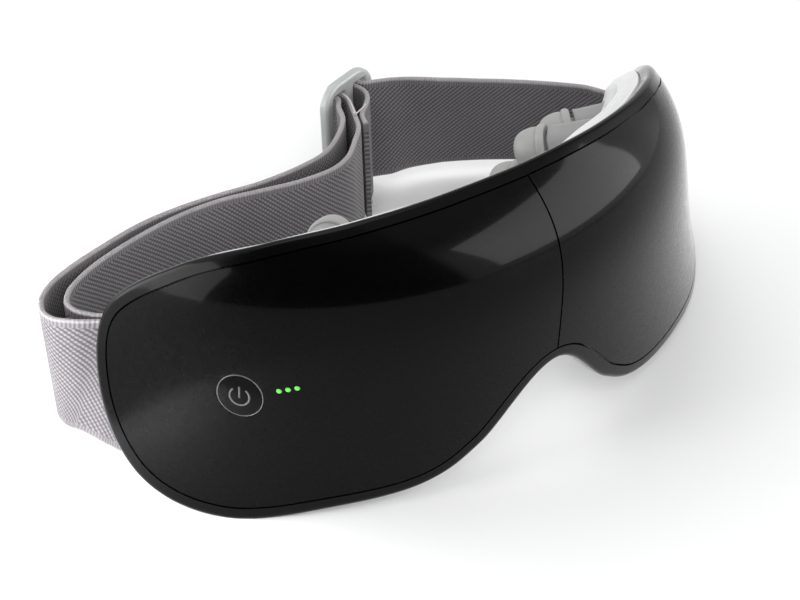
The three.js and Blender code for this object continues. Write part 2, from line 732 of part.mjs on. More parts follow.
function makeNub(n) {
  const { reach } = n;
  const bead = reach - nub.cap - nub.beadWidth;
  const foot = nubFoot(n);
  const { radius, stem: core, neck } = nub;
  return turned([
    [0, foot], [nub.flange, foot], [nub.flange, foot + nub.flangeThickness], [core, foot + nub.flangeThickness],
    [core, bead], [nub.bead - neck, bead], [nub.bead, bead + nub.beadWidth * 0.35],
    [nub.bead, bead + nub.beadWidth * 0.65], [radius, bead + nub.beadWidth], [radius, reach - nub.cap * 0.45],
    [radius * 0.86, reach - nub.cap * 0.18], [radius * 0.55, reach - nub.cap * 0.04], [0, reach],
  ], 12);
}

function socketRadius() {
  return nub.flange + visor.gap + nub.socketWall;
}

function makeSocket(n) {
  const bore = nub.flange + visor.gap;
  const lip = nub.stem + visor.gap;
  const low = n.wall - n.inside;
  const high = socketMouth(n);
  return turned([
    [bore, low], [socketRadius(), low], [socketRadius(), high - nub.socketTaper],
    [socketRadius() - nub.socketTaper, high], [lip, high], [lip, high - nub.socketLip], [bore, high - nub.socketLip],
    [bore, low],
  ], 12);
}

function makeBellows(n) {
  const { radius, fold, start, pleats } = bellows;
  const top = nubFoot(n) - visor.gap;
  const pitch = (top - start) / pleats;
  const profile = [[0, start], [radius - fold, start]];
  for (let k = 0; k < pleats; k++) {
    profile.push([radius, start + (k + 0.5) * pitch], [radius - fold, start + (k + 1) * pitch]);
  }
  profile.push([0, top]);
  return turned(profile, 8);
}

// Parts inside the shell

function makeBoard() {
  return block(board.span, board.height, board.thickness)
    .translate(board.span / 2 - board.outerEnd, board.down, board.depth + board.thickness / 2);
}

function roundedBox(x, y, corner, path = new THREE.Shape(), centre = 0) {
  path.moveTo(centre - x + corner, -y).lineTo(centre + x - corner, -y);
  path.absarc(centre + x - corner, corner - y, corner, -Math.PI / 2, 0, false);
  path.lineTo(centre + x, y - corner).absarc(centre + x - corner, y - corner, corner, 0, Math.PI / 2, false);
  path.lineTo(centre - x + corner, y).absarc(centre - x + corner, y - corner, corner, Math.PI / 2, Math.PI, false);
  path.lineTo(centre - x, corner - y);
  path.absarc(centre - x + corner, corner - y, corner, Math.PI, 1.5 * Math.PI, false);
  return path;
}

function makeBattery() {
  const { span, height, thickness, depth, corner } = battery;
  return new THREE.ExtrudeGeometry(roundedBox(span / 2, height / 2, corner), {
    depth: thickness, bevelEnabled: false, curveSegments: 3,
  }).translate(0, 0, depth);
}

function alongX(geometry) {
  return geometry.rotateY(Math.PI / 2);
}

function alongY(geometry) {
  return geometry.rotateX(-Math.PI / 2);
}

function pumpFrame() {
  return seat(pump.along, heightOf("pump"), pump.depth);
}

function makeMotor() {
  return alongX(rod(pump.radius, pump.motor, { start: -pump.motor, sides: 20 }));
}

function makeCrank() {
  const middle = (pump.pinLength - pump.disc) / 2;
  return join([
    alongX(rod(pump.pin, pump.pinLength - visor.gap - visor.gap, { start: visor.gap, sides: 12 })),
    alongX(rod(pump.discRadius, pump.disc, { start: middle, sides: 18 })).translate(0, pump.throwOut, 0),
  ]);
}

function makePumpHead() {
  const side = pump.radius + pump.radius;
  const start = pump.pinLength + pump.head - OVERRUN;
  return join([
    block(pump.head, side, side).translate(pump.pinLength + pump.head / 2, 0, 0),
    alongX(rod(hose.radius, pump.spout + OVERRUN, { start, sides: hose.sides })),
  ]);
}

function valveFrame() {
  return seat(valve.along, heightOf("valve"), valve.depth);
}

function makeValve() {
  const start = valve.span / 2 - valve.bore;
  const hole = rod(valve.plunger + visor.gap, valve.bore + OVERRUN, { start, sides: 16 });
  return cut(block(valve.span, valve.side, valve.side), [alongX(hole)]);
}

function makePlunger() {
  const start = valve.span / 2 - valve.bore + valve.travel + visor.gap;
  return alongX(rod(valve.plunger, valve.plungerLength, { start, sides: 16 }));
}

// A soft tube along its route, between the valve and the route's other end.
function makeHose(route, side) {
  const points = route.map(([s, z, d]) => at(s * visor.halfLength, z * visor.height, d * housing.depth));
  const slanted = side > 0 ? hose.radius / 2 : 0; // the right hose leaves the valve at a slant
  const reach = valve.side / 2 + visor.gap + visor.gap + slanted;
  const mouth = at(valve.along, heightOf("valve") + side * reach, valve.depth);
  if (side < 0) points.push(mouth);
  else points.unshift(mouth);
  const curve = new THREE.CatmullRomCurve3(points);
  const shape = new THREE.Shape();
  for (let k = 0; k < hose.sides; k++) {
    const a = (2 * Math.PI * k) / hose.sides;
    const [x, y] = [hose.radius * Math.cos(a), hose.radius * Math.sin(a)];
    if (k) shape.lineTo(x, y);
    else shape.moveTo(x, y);
  }
  return new THREE.ExtrudeGeometry(shape, { steps: hose.steps, bevelEnabled: false, extrudePath: curve });
}

function makeSpeaker() {
  const { depth, radius, thickness, magnet, magnetRadius } = speaker;
  return turned([
    [0, depth], [radius, depth], [radius, depth + thickness], [magnetRadius, depth + thickness],
    [magnetRadius, depth + thickness + magnet], [0, depth + thickness + magnet],
  ], 20);
}

// The charging port's frame: X along the arc, Z up into the shell.
function portFrame() {
  const t = turn(port.along);
  const x = new THREE.Vector3(Math.cos(t), Math.sin(t), 0);
  const y = new THREE.Vector3(-Math.sin(t), Math.cos(t), 0);
  const origin = at(port.along, heightOf("port"), port.depth);
  return new THREE.Matrix4().makeBasis(x, y, new THREE.Vector3(0, 0, 1)).setPosition(origin);
}

function makePort() {
  const { width, thickness, height, wall, tongue } = port;
  const box = (x, y, start, end) => block(x, y, end - start).translate(0, 0, (start + end) / 2);
  const inner = box(width - wall - wall, thickness - wall - wall, -OVERRUN, height - wall);
  return join([cut(box(width, thickness, 0, height), [inner]), box(tongue, wall, wall, height - wall / 2)]);
}

function portTool() {
  const room = visor.gap + visor.gap;
  return block(port.width + room, port.thickness + room, port.height + port.height).applyMatrix4(portFrame());
}

// Pads on the wearer's side

function makeFilm(side) {
  const front = (s, z) => backAt(s, z) + film.seat;
  return bentSlab({
    along: side * cushion.along, high: heightOf("cushion"), span: cushion.halfLength * 2 - film.margin,
    height: cushion.halfHeight * 2 - film.margin, front, back: (s, z) => front(s, z) + film.thickness,
    corner: film.corner, columns: 4,
  });
}

// A crowned oval pad that lies on the shell's back.
function makeCushion(side) {
  const count = 28;
  const oval = (v) => Math.sign(v) * Math.abs(v) ** cornerPower;
  const row = ([size, rise, crown]) => Array.from({ length: count }, (_, k) => {
    const a = (2 * Math.PI * k) / count;
    const s = side * (cushion.along + cushion.halfLength * size * oval(Math.cos(a)));
    const z = heightOf("cushion") + cushion.halfHeight * size * oval(Math.sin(a));
    return at(s, z, backAt(s, z) + cushion.seat + cushion.thickness * rise + cushion.crownHeight * crown);
  });
  return skin(padShares.map(row));
}

// Strap, its anchor bars and its buckle

// The way up a wing at an arc length: it leans in as the face does there.
function upWing(side, arc) {
  const t = turn(arc);
  const lean = (visor.browLean + visor.wingLean * (arc / visor.bendLength) ** 2) / visor.leanSpan;
  return new THREE.Vector3(-side * Math.sin(t) * lean, Math.cos(t) * lean, 1);
}

// The frame of an anchor bar: Y up the bar, Z towards the wearer.
function barFrame(side) {
  const t = turn(bar.along);
  const level = new THREE.Vector3(-side * Math.sin(t), Math.cos(t), 0);
  const y = upWing(side, bar.along).normalize();
  const x = y.clone().cross(level).normalize();
  const origin = at(side * bar.along, strapLevel, bar.depth);
  return new THREE.Matrix4().makeBasis(x, y, x.clone().cross(y)).setPosition(origin.x, origin.y, strapLevel);
}

function makeBar() {
  return alongY(rod(bar.radius, barLength, { start: -barLength / 2, sides: 16 }));
}

function barBosses(side) {
  const { boss, bossReach } = bar;
  const deep = boss + housing.depth - bar.depth - housing.wall / 2;
  return [-1, 1].map((end) =>
    block(boss + boss, bossReach, deep)
      .translate(0, end * (slotHeight / 2 + bossReach / 2), deep / 2 - boss)
      .applyMatrix4(barFrame(side)),
  );
}

function barTool(side) {
  const length = barLength + visor.gap + visor.gap;
  return alongY(rod(bar.radius + visor.gap, length, { start: -length / 2, sides: 16 })).applyMatrix4(barFrame(side));
}

function slotTool(side) {
  const { along, span, front, back } = slot;
  const high = strapLevel + slot.rise;
  return bentSlab({ along: side * along, high, span, height: slotHeight, front, back, columns: 8, rowsUp: 1 });
}

function buckleFrame() {
  const a = buckle.angle * DEG;
  const x = new THREE.Vector3(Math.cos(a), Math.sin(a), 0);
  const y = new THREE.Vector3(0, 0, 1);
  return new THREE.Matrix4().makeBasis(x, y, x.clone().cross(y)).setPosition(buckle.x, buckle.y, buckleHeight / 2);
}

function makeBuckle() {
  const { span, thickness, corner, outerBar, centreBar, bevel, endBar, windowCorner } = buckle;
  const shape = roundedBox(span / 2 - bevel, buckleHeight / 2 - bevel, corner);
  const inner = centreBar / 2 - bevel;
  const outer = span / 2 - outerBar + bevel;
  for (const side of [-1, 1]) {
    const window = roundedBox((outer - inner) / 2, buckleHeight / 2 - endBar + bevel, windowCorner, new THREE.Path(),
      side * (inner + outer) / 2);
    shape.holes.push(window);
  }
  const depth = thickness - bevel - bevel;
  return new THREE.ExtrudeGeometry(shape, {
    depth, bevelEnabled: true, bevelThickness: bevel, bevelSize: bevel, bevelSegments: 1, curveSegments: 3,
  }).translate(0, 0, -depth / 2);
}

// The points of the webbing's middle line, each with the sideways slant of its width.
function strapPoints() {
  const slant = (side, arc) => upWing(side, arc).toArray().slice(0, 2);
  const wing = (side, points) => points.map(([s, d]) => {
    const p = at(side * s, strapLevel, d);
    return [p.x, p.y, ...slant(side, s)];
  });
  const free = (name) => strapRoute[name].map(([x, y], k) => {
    const way = new THREE.Vector2(-x, strap.headDepth - y).normalize();
    const lean = Math.tan(strap.leanAngle * DEG) * leanShares[name][k];
    return [x, y, way.x * lean, way.y * lean];
  });
  const inBuckle = (points) => points.map(([a, b]) => {
    const p = new THREE.Vector3(a, 0, b).applyMatrix4(buckleFrame());
    return [p.x, p.y, 0, 0];
  });
  const round = (side, turnsOut) => {
    const r = bar.radius + visor.gap + strap.thickness / 2;
    const t = turn(bar.along);
    const centre = new THREE.Vector3().setFromMatrixPosition(barFrame(side));
    return [90, 126, 162, 198, 234, 270].map((_, k, list) => {
      const a = list[turnsOut ? k : list.length - 1 - k] * DEG;
      const [along, deep] = [r * Math.cos(a), r * Math.sin(a)];
      const x = centre.x + side * (along * Math.cos(t) - deep * Math.sin(t));
      return [x, centre.y + along * Math.sin(t) + deep * Math.cos(t), ...slant(side, bar.along)];
    });
  };
  return [
    ...wing(1, strapRoute.rightTail), ...round(1, true), ...wing(1, strapRoute.rightWing), ...free("right"),
    ...inBuckle(strapRoute.thread), ...free("outer"), ...wing(-1, strapRoute.leftOut), ...round(-1, false),
    ...wing(-1, strapRoute.leftIn), ...free("inner"), ...inBuckle(strapRoute.loop),
  ];
}

function makeStrap() {
  const points = strapPoints();
  const curve = new THREE.CatmullRomCurve3(points.map(([x, y]) => new THREE.Vector3(x, y, 0)), false, "centripetal");
  const spans = points.length - 1;
  const [w, t] = [webWidth / 2, strap.thickness / 2];
  const section = [[w, t], [-w, t], [-w, -t], [w, -t]];
  const rows = Array.from({ length: spans * strapSamples + 1 }, (_, k) => {
    const share = k / (spans * strapSamples);
    const i = Math.min(Math.floor(share * spans), spans - 1);
    const part = share * spans - i;
    const [x, y] = [2, 3].map((n) => points[i][n] + (points[i + 1][n] - points[i][n]) * part);
    const middle = curve.getPoint(share).setZ(strapLevel);
    const up = new THREE.Vector3(x, y, 1).normalize();
    const flat = up.clone().cross(curve.getTangent(share)).normalize();
    return section.map(([a, b]) => middle.clone().addScaledVector(up, a).addScaledVector(flat, b));
  });
  return capped(rows);
}

// Rows of points joined into a surface, with a fan over each end.
function capped(rows) {
  const caps = [rows[0], rows[rows.length - 1]].map((row) => {
    const index = [];
    for (let k = 1; k < row.length - 1; k++) index.push(0, k, k + 1);
    return raw(row.flatMap((p) => [p.x, p.y, p.z]), index);
  });
  return mergeGeometries([skin(rows), ...caps]);
}

// Assembly

const threads = screwPlaces().map((place) => {
  const start = bezel.ledgeTop + visor.gap / 2;
  return rod(screw.shank + visor.gap / 2, bezel.ledge, { start, sides: 12 }).applyMatrix4(place);
});
add("front_bezel", cut(makeBezel(), [...threads, floorTool()]), finish.rim);
add("right_front_panel", makePanel(1), finish.gloss);
const lampTools = lampPlaces().map((place) => {
  const through = panel.thickness + OVERRUN + OVERRUN;
  return rod(lamp.radius + visor.gap / 2, through, { start: -OVERRUN, sides: 12 }).applyMatrix4(place);
});
add("left_front_panel", cut(makePanel(-1), [buttonTool(), ...lampTools]), finish.gloss);
add("inner_chassis", makeChassis(), finish.satinBlack);
screwPlaces().forEach((place, k) => add(`chassis_screw_${k + 1}`, makeScrew(), finish.steel, place));
add("rear_housing", makeHousing(), finish.shell);

add("power_button", makeButton(), finish.gloss, buttonFrame());
add("button_switch", makeSwitch(), finish.darkPlastic, buttonFrame());
lampPlaces().forEach((place, k) => add(`light_pipe_${k + 1}`, makeLamp(), finish.clear, place));
add("control_board", makeBoard(), finish.boardGreen, buttonFrame());

for (const [name, side] of sides) {
  for (const n of nubs) {
    add(`${name}_${n.name}_nub`, makeNub(n), finish.silicone, spoke(n, side));
    add(`${name}_${n.name}_socket`, makeSocket(n), finish.silicone, spoke(n, side));
    add(`${name}_${n.name}_bellows`, makeBellows(n), finish.tube, spoke(n, side));
  }
}

add("battery", makeBattery(), finish.foil, seat(battery.along, heightOf("battery"), 0));
add("pump_motor", makeMotor(), finish.steel, pumpFrame());
add("pump_crank", makeCrank(), finish.steel, pumpFrame());
add("pump_head", makePumpHead(), finish.darkPlastic, pumpFrame());
add("air_valve", makeValve(), finish.darkPlastic, valveFrame());
add("valve_plunger", makePlunger(), finish.steel, valveFrame());
add("left_air_hose", makeHose(hoseShares.left, -1), finish.tube);
add("right_air_hose", makeHose(hoseShares.right, 1), finish.tube);
add("charging_port", makePort(), finish.steel, portFrame());

for (const [name, side] of sides) {
  add(`${name}_speaker`, makeSpeaker(), finish.darkPlastic, seat(side * speaker.along, heightOf("speaker"), 0));
  add(`${name}_heating_film`, makeFilm(side), finish.amber);
  add(`${name}_eye_cushion`, makeCushion(side), finish.silicone);
  add(`${name}_strap_bar`, makeBar(), finish.steel, barFrame(side));
}
add("head_strap", makeStrap(), finish.webbing);
add("strap_buckle", makeBuckle(), finish.buckle, buckleFrame());

// The part's origin is the middle of its footprint, on the surface that it stands on.
const bounds = new THREE.Box3().setFromObject(model);
const centre = bounds.getCenter(new THREE.Vector3());
for (const mesh of model.children) mesh.geometry.translate(-centre.x, -centre.y, -bounds.min.z);

export default model;
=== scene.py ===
import math
from types import SimpleNamespace as Sizes

import bmesh
import bpy
import numpy as np
from mathutils import Matrix, Vector


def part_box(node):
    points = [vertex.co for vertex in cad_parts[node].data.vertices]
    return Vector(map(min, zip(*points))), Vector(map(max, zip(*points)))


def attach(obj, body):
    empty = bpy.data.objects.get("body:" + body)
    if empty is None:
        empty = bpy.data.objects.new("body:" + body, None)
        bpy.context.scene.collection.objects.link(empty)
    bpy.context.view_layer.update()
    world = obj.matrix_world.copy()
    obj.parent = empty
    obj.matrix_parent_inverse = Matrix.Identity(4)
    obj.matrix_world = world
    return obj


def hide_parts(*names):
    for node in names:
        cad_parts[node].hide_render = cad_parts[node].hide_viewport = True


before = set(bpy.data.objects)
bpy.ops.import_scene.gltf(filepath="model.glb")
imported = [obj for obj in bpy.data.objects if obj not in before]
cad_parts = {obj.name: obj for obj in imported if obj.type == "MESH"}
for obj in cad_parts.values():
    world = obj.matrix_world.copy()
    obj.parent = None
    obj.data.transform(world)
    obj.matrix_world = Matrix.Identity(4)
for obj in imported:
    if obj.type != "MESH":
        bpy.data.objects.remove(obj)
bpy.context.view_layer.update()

MM = 0.001
DEG = math.pi / 180

# Driving dimensions, as in the solids
VISOR = Sizes(
    half_arc=134.0, height=90.0, bend_arc=100.0, lean_height=45.0, lean_span=50.0, brow_lean=-3.5,
    wing_lean=13.4, brow_roll=22.2, wing_roll=5.5, probe=0.5, gap=0.35,
)
BEND_SHARES = (0.85, 0.347, -0.157)
ROLL_POWER = 9
OUTLINE_SHARES = [
    (0, 1), (0.2, 0.991), (0.418, 0.958), (0.626, 0.897), (0.825, 0.783), (0.993, 0.575),
    (0.979, 0.332), (0.863, 0.089), (0.698, -0.004), (0.488, 0.032), (0.29, 0.065), (0.169, 0.164),
    (0, 0.396),
]
BEZEL = Sizes(
    band=4.3, depth=4.2, ledge=7.4, ledge_top=2.2, ledge_back=3.5, lip=2.0, round=1.6, step=0.6,
    edge=0.25,
)
PANEL = Sizes(thickness=1.8, groove=0.55, seam=0.5, edge=0.28)
HOUSING = Sizes(
    wall=1.8, rim_proud=0.6, shoulder=2.95, depth=25.5, nose_share=0.42, nose_span=44.0,
    spine_height=45.0, nose_spine_rise=17.0, spine_spread=26.0, spine_share=0.74, knee=6.0, edge=0.3,
)
FLANK_SHARES = [
    (1, 1, 1, 1), (0.65, 1, 0.976, 1), (0.42, 1, 0.905, 1), (0.25, 1, 0.738, 1), (0.12, 1, 0.547, 1),
    (0, 1, 0.38, 0.8), (0, 0.33, 0.236, 0.6), (0, 0, 0.093, 0.3), (0, 0, 0, 0),
]
BUTTON = Sizes(
    arc=-88.0, height=41.0, radius=6.4, crown=0.35, flange=0.8, reach=1.1, slit=0.16, edge_inset=0.12,
    edge_half=0.13, edge_depth=0.11,
)
SIGN = Sizes(
    inner=2.46, outer=2.94, gap=39.0, bar_low=-3.0, bar_high=0.4, bar_half=0.24, proud=0.03,
    thickness=0.04,
)
STEM = Sizes(radius=1.4, end=6.2)
LAMP = Sizes(first=10.9, pitch=2.5, rise=15.6, radius=0.75, length=8.0, count=3, room=0.12, dome=0.25)
NUB = Sizes(
    radius=6.1, stem=3.3, bead=6.6, bead_width=2.6, cap=7.5, flange=4.3, flange_thickness=1.2, travel=3.0,
    neck=0.4, head_gap=1.0, wall=1.1, lip=2.0, taper=0.3, groove=0.3,
)
NUBS = [
    Sizes(name="inner_brow", arc=69, level=57, yaw=-5.7, droop=16, reach=59.97, wall=25.87, inside=4),
    Sizes(name="outer_brow", arc=70, level=72.7, yaw=3.8, droop=17.5, reach=46.7, wall=20.8, inside=7.5),
    Sizes(name="temple", arc=108, level=55.1, yaw=-5.5, droop=11.2, reach=39.65, wall=22.35, inside=8),
]
BELLOWS = Sizes(radius=4.2, fold=0.9, start=7.8, pleats=4)
CUSHION = Sizes(
    arc=40.0, level=38.0, half_length=16.0, half_height=14.0, thickness=5.0, crown=2.0, seat=1.4,
    held=1.2, piping=0.45, piping_size=0.995, piping_rise=0.22,
)
PUFF = Sizes(voxel=1.1, pressure=4.0, frames=14, most=0.7)
CORNER_POWER = 0.72
STRAP = Sizes(width=38.0, thickness=1.6, level=25.0, lean=14.0, head_depth=60.0)
BAR = Sizes(radius=1.25, arc=97.0, depth=10.6)
SLOT = Sizes(arc=116.0, level=26.1, length=50.0, height=39.6, front=5.9, back=16.8)
PORT = Sizes(arc=60.0, level=2.9, depth=9.0, width=9.0, thickness=3.3, height=7.0)
BUCKLE = Sizes(
    length=24.4, height=48.4, thickness=3.4, corner=7.5, outer_bar=4.1, centre_bar=4.4, end_bar=3.8,
    window_corner=1.6, angle=18.0, x=23.5, y=136.0, level=24.2, bevel=1.1,
)
TACK = Sizes(
    place=(-8.25, 13.98), slope=(0.902, 0.431), apart=2.4, reach=17.5, pitch=2.7, stitch=2.0, radius=0.16,
    dip=0.25, bend=0.3, strand=0.2,
)
# The thread's end over the webbing's top edge, and a loose end above its lower edge
STRANDS = {
    "over": [(-3.6, 0.25, 1.2), (-5, 0.5, 4.6), (-6.6, 0.25, 7.2), (-8.4, 0.55, 9.4), (-10.7, 0.3, 12.2)],
    "across": [(-10.6, 0.3, 12.4), (-8.8, 0.8, 12.6), (-6.2, 0.6, 12.2), (-4.3, 0.2, 11.3)],
    "loose": [(-8, 5, 13.6), (-6.9, 3.6, 14.6), (-6.7, 1.8, 14.7), (-5.6, 0.4, 15.4)],
}
KNOT = Sizes(place=(-10.7, 0.3, 12.3), radius=0.45, climb=0.06, sway=0.2, sway_rate=1.7, turn=3.6)
STRAP_ROUTE = {
    "right_tail": [(109, 13), (103, 12.9)],
    "right_wing": [(104, 8.3), (112, 8.2), (121, 8.1), (129, 8.4), (133.5, 9)],
    "right": [
        (98, 81.5), (95, 86.8), (90.8, 93), (83.8, 100.2), (74.4, 109.4), (64, 117.6), (53.5, 125),
        (43.6, 130.6),
    ],
    "thread": [
        (12.6, 7.8), (8.9, 4.6), (6.4, 2.4), (5.5, -0.5), (4.8, -3), (2.6, -4.8), (0, -5.1), (-2.6, -4.8),
        (-4.8, -3), (-5.5, -0.5), (-6, 1.6), (-9.3, 4.4),
    ],
    "outer": [
        (13, 122), (5.5, 114.5), (-2, 109.9), (-12, 108.2), (-26, 108.4), (-39, 110.6), (-52, 112),
        (-65, 111.8), (-79, 109), (-90, 106), (-97.5, 102.8), (-103, 98.2), (-105.6, 92.8), (-105.2, 88.6),
        (-102.6, 84.8), (-98.7, 81.4),
    ],
    "left_out": [(131.5, 9.6), (127, 9), (121, 8.4), (112, 8.2), (104, 8.3)],
    "left_in": [(104, 12.9), (112, 13), (121, 13.2), (127, 13.3), (131.5, 13.2)],
    "inner": [
        (-94.8, 81.4), (-97.8, 84.6), (-99.4, 88.4), (-98.6, 92.5), (-95.4, 96.6), (-90, 100.2), (-82, 103.6),
        (-67, 107.2), (-53, 108.8), (-40, 108), (-28, 105), (-16, 102), (-4, 101.4), (3, 104.2), (9, 109.6),
        (14.4, 115.4),
    ],
    "loop": [
        (-10.8, 12.3), (-7.2, 8), (-4.5, 4.6), (-3.5, 2), (-3.4, 0), (-3.3, -1.4), (-2, -2.8), (0, -3),
        (2, -2.8), (3.3, -1.4), (3.4, 0.4), (3.3, 2.8), (2.4, 6), (0, 8.8), (-4, 11), (-8.6, 13.2),
        (-12.2, 17.6),
    ],
}
LEAN_SHARES = {
    "right": [1.6, 1.3, 1.1, 1, 1, 0.9, 0.7, 0.3],
    "outer": [0] * 12 + [0.1, 0.3, 0.8, 1.6],
    "inner": [1.3, 0.8, 0.4, 0.1] + [0] * 12,
}

# The solids' frame starts a little off the visor's own, so the buckle's middle says how far.
buckle_low, buckle_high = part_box("strap_buckle")
buckle_middle = (np.array(buckle_low) + np.array(buckle_high)) / (2 * MM)
SHIFT = buckle_middle - [BUCKLE.x, BUCKLE.y, BUCKLE.level]

# Camera, at the photograph's viewing angle
VIEW = Sizes(
    azimuth=-34.39, elevation=39.65, roll=-1.55, distance=465.1, focal_pixels=1665.8, width_pixels=800,
    sensor=36.0, target=(-19.65, 45.30, 36.74),
)


def added(name, data):
    """A new object in the scene."""
    obj = bpy.data.objects.new(name, data)
    bpy.context.scene.collection.objects.link(obj)
    return obj


def make_camera():
    azimuth, elevation, roll = (v * DEG for v in (VIEW.azimuth, VIEW.elevation, VIEW.roll))
    away = math.cos(elevation)
    back = Vector((math.sin(azimuth) * away, -math.cos(azimuth) * away, math.sin(elevation)))
    level = Vector((0, 0, 1)).cross(back).normalized()
    upright = back.cross(level)
    right = level * math.cos(roll) + upright * math.sin(roll)
    up = upright * math.cos(roll) - level * math.sin(roll)
    target = Vector((np.array(VIEW.target) + SHIFT) * MM)
    data = bpy.data.cameras.new("camera")
    data.sensor_fit = "HORIZONTAL"
    data.sensor_width = VIEW.sensor
    data.lens = VIEW.focal_pixels * VIEW.sensor / VIEW.width_pixels
    data.clip_start = 0.01
    data.clip_end = 20
    camera = added("camera", data)
    facing = Matrix((right, up, back)).transposed().to_4x4()
    camera.matrix_world = Matrix.Translation(target + back * VIEW.distance * MM) @ facing
    bpy.context.scene.camera = camera


make_camera()


# Surface of the visor

def unit(v):
    return v / np.linalg.norm(v, axis=-1, keepdims=True)


def turn(arc):
    u = arc / VISOR.bend_arc
    a, b, c = BEND_SHARES
    return u * (a + u * u * (b + u * u * c))


def plan(arc):
    chords = 48
    step = arc / chords
    t = turn((np.arange(chords) + 0.5) * step[..., None])
    return (np.cos(t) * step[..., None]).sum(-1), (np.sin(t) * step[..., None]).sum(-1), turn(arc)


def face(s, z):
    s, z = np.broadcast_arrays(np.asarray(s, float), np.asarray(z, float))
    side = np.where(s < 0, -1.0, 1.0)
    arc = np.abs(s)
    x, y, t = plan(arc)
    u2 = (arc / VISOR.bend_arc) ** 2
    lean = (VISOR.brow_lean + VISOR.wing_lean * u2) * (z - VISOR.lean_height) / VISOR.lean_span
    up = np.maximum(z, 0) / VISOR.height
    d = lean + (VISOR.brow_roll + VISOR.wing_roll * u2) * up ** ROLL_POWER
    return np.stack([side * (x - np.sin(t) * d), y + np.cos(t) * d, z], -1)


def slopes(s, z):
    h = VISOR.probe
    along = (face(s + h, z) - face(s - h, z)) / (2 * h)
    up = (face(s, z + h) - face(s, z - h)) / (2 * h)
    return along, up, unit(np.cross(up, along))


def at(s, z, depth):
    s, z, depth = np.broadcast_arrays(np.asarray(s, float), np.asarray(z, float), np.asarray(depth, float))
    inward = slopes(s, z)[2]
    near = np.minimum(depth, HOUSING.knee)
    side = np.where(s < 0, -1.0, 1.0)
    t = turn(np.abs(s))
    level = np.stack([-side * np.sin(t), np.cos(t), np.zeros_like(t)], -1)
    return face(s, z) + inward * near[..., None] + level * (depth - near)[..., None]


def axes(x, y, z, origin):
    m = np.eye(4)
    m[:3] = np.column_stack([x, y, z, origin])
    return m


def seat(s, z):
    """A frame on the face: Z towards the wearer, X along the arc."""
    along, _, inward = slopes(float(s), float(z))
    x = unit(along)
    return axes(x, unit(np.cross(inward, x)), inward, face(float(s), float(z)))


def spoke(nub, side):
    """Frame of an axis that stands square to the face in plan, slanted sideways and down."""
    t = turn(nub.arc) + nub.yaw * DEG
    way = unit(np.array([-side * math.sin(t), math.cos(t), -math.tan(nub.droop * DEG)]))
    x = unit(np.cross([0, 0, 1], way))
    return axes(x, np.cross(way, x), way, face(side * nub.arc, nub.level))


def placed(m, points):
    return np.asarray(points, float) @ m[:3, :3].T + m[:3, 3]


# Curves and rows

def cubic(b, c, t0, t1, w):
    return ((2 * b - 2 * c + t0 + t1) * w + (3 * c - 3 * b - 2 * t0 - t1)) * w * w + t0 * w + b


def round_curve(points):
    """A closed smooth curve through the points, as a function of the share of the way round."""
    p = np.array(points, float)
    n = len(p)

    def value(share):
        way = (np.asarray(share, float) % 1.0) * n
        i = np.floor(way).astype(int)
        a, b, c, d = (p[(i + k) % n] for k in (-1, 0, 1, 2))
        return cubic(b, c, (c - a) / 2, (d - b) / 2, (way - i)[..., None])

    return value


def open_curve(points, count):
    """Points along an open centripetal curve, count of them for each span."""
    p = np.array(points, float)
    p = np.vstack([2 * p[0] - p[1], p, 2 * p[-1] - p[-2]])
    gap = np.sqrt(np.linalg.norm(np.diff(p, axis=0), axis=1))
    out = []
    for i in range(1, len(p) - 2):
        d0, d1, d2 = gap[i - 1], gap[i], gap[i + 1]
        a, b, c, d = p[i - 1:i + 3]
        t0 = ((b - a) / d0 - (c - a) / (d0 + d1) + (c - b) / d1) * d1
        t1 = ((c - b) / d1 - (d - b) / (d1 + d2) + (d - c) / d2) * d1
        out.append(cubic(b, c, t0, t1, (np.arange(count) / count)[:, None]))
    return np.vstack(out + [p[-2][None]])


right_half = [(a * VISOR.half_arc, h * VISOR.height) for a, h in OUTLINE_SHARES]
left_half = [(-s, z) for s, z in right_half[1:-1][::-1]]
outline_curve = round_curve(right_half + left_half)


def outline(share, inset=0.0):
    """Arc and height of the outline, moved in by a width measured on the curved face."""
    share = np.asarray(share, float)
    p = outline_curve(share)
    step = 1e-4
    d = outline_curve(share + step) - outline_curve(share - step)
    s, z = p[..., 0], p[..., 1]
    along, up, inward = slopes(s, z)
    way = unit(along * d[..., :1] + up * d[..., 1:])
    inside = np.cross(inward, way)
    uu, aa, ua = (up * up).sum(-1), (along * along).sum(-1), (along * up).sum(-1)
    det = aa * uu - ua * ua
    ia, iu = (inside * along).sum(-1), (inside * up).sum(-1)
    return s + inset * (ia * uu - iu * ua) / det, z + inset * (iu * aa - ia * ua) / det


def spine_level(s):
    rise = HOUSING.nose_spine_rise * np.exp(-((s / HOUSING.spine_spread) ** 2))
    return HOUSING.spine_height + rise


def ridge(share):
    share = np.asarray(share, float)
    mean = (outline(share)[0] + outline((0.5 - share) % 1.0)[0]) / 2
    s = mean * HOUSING.spine_share
    return s, spine_level(s)


def ring(share, inset=0.0, pull=0.0, depth=0.0):
    s0, z0 = outline(share, inset)
    s1, z1 = ridge(share)
    s = s0 + (s1 - s0) * pull
    z = z0 + (z1 - z0) * pull
    return at(s, z, depth(s, z) if callable(depth) else depth)


# Meshes

def skin(rows, wrap=True, loop=False):
    """Faces between rows of as many points: wrap closes each row, loop joins the last row to the first."""
    rows = np.array(rows, float)
    r, n = rows.shape[:2]
    faces = []
    for i in range(r if loop else r - 1):
        a, b = i * n, ((i + 1) % r) * n
        for k in range(n if wrap else n - 1):
            j = (k + 1) % n
            faces.append((a + k, a + j, b + j, b + k))
    return rows.reshape(-1, 3), faces


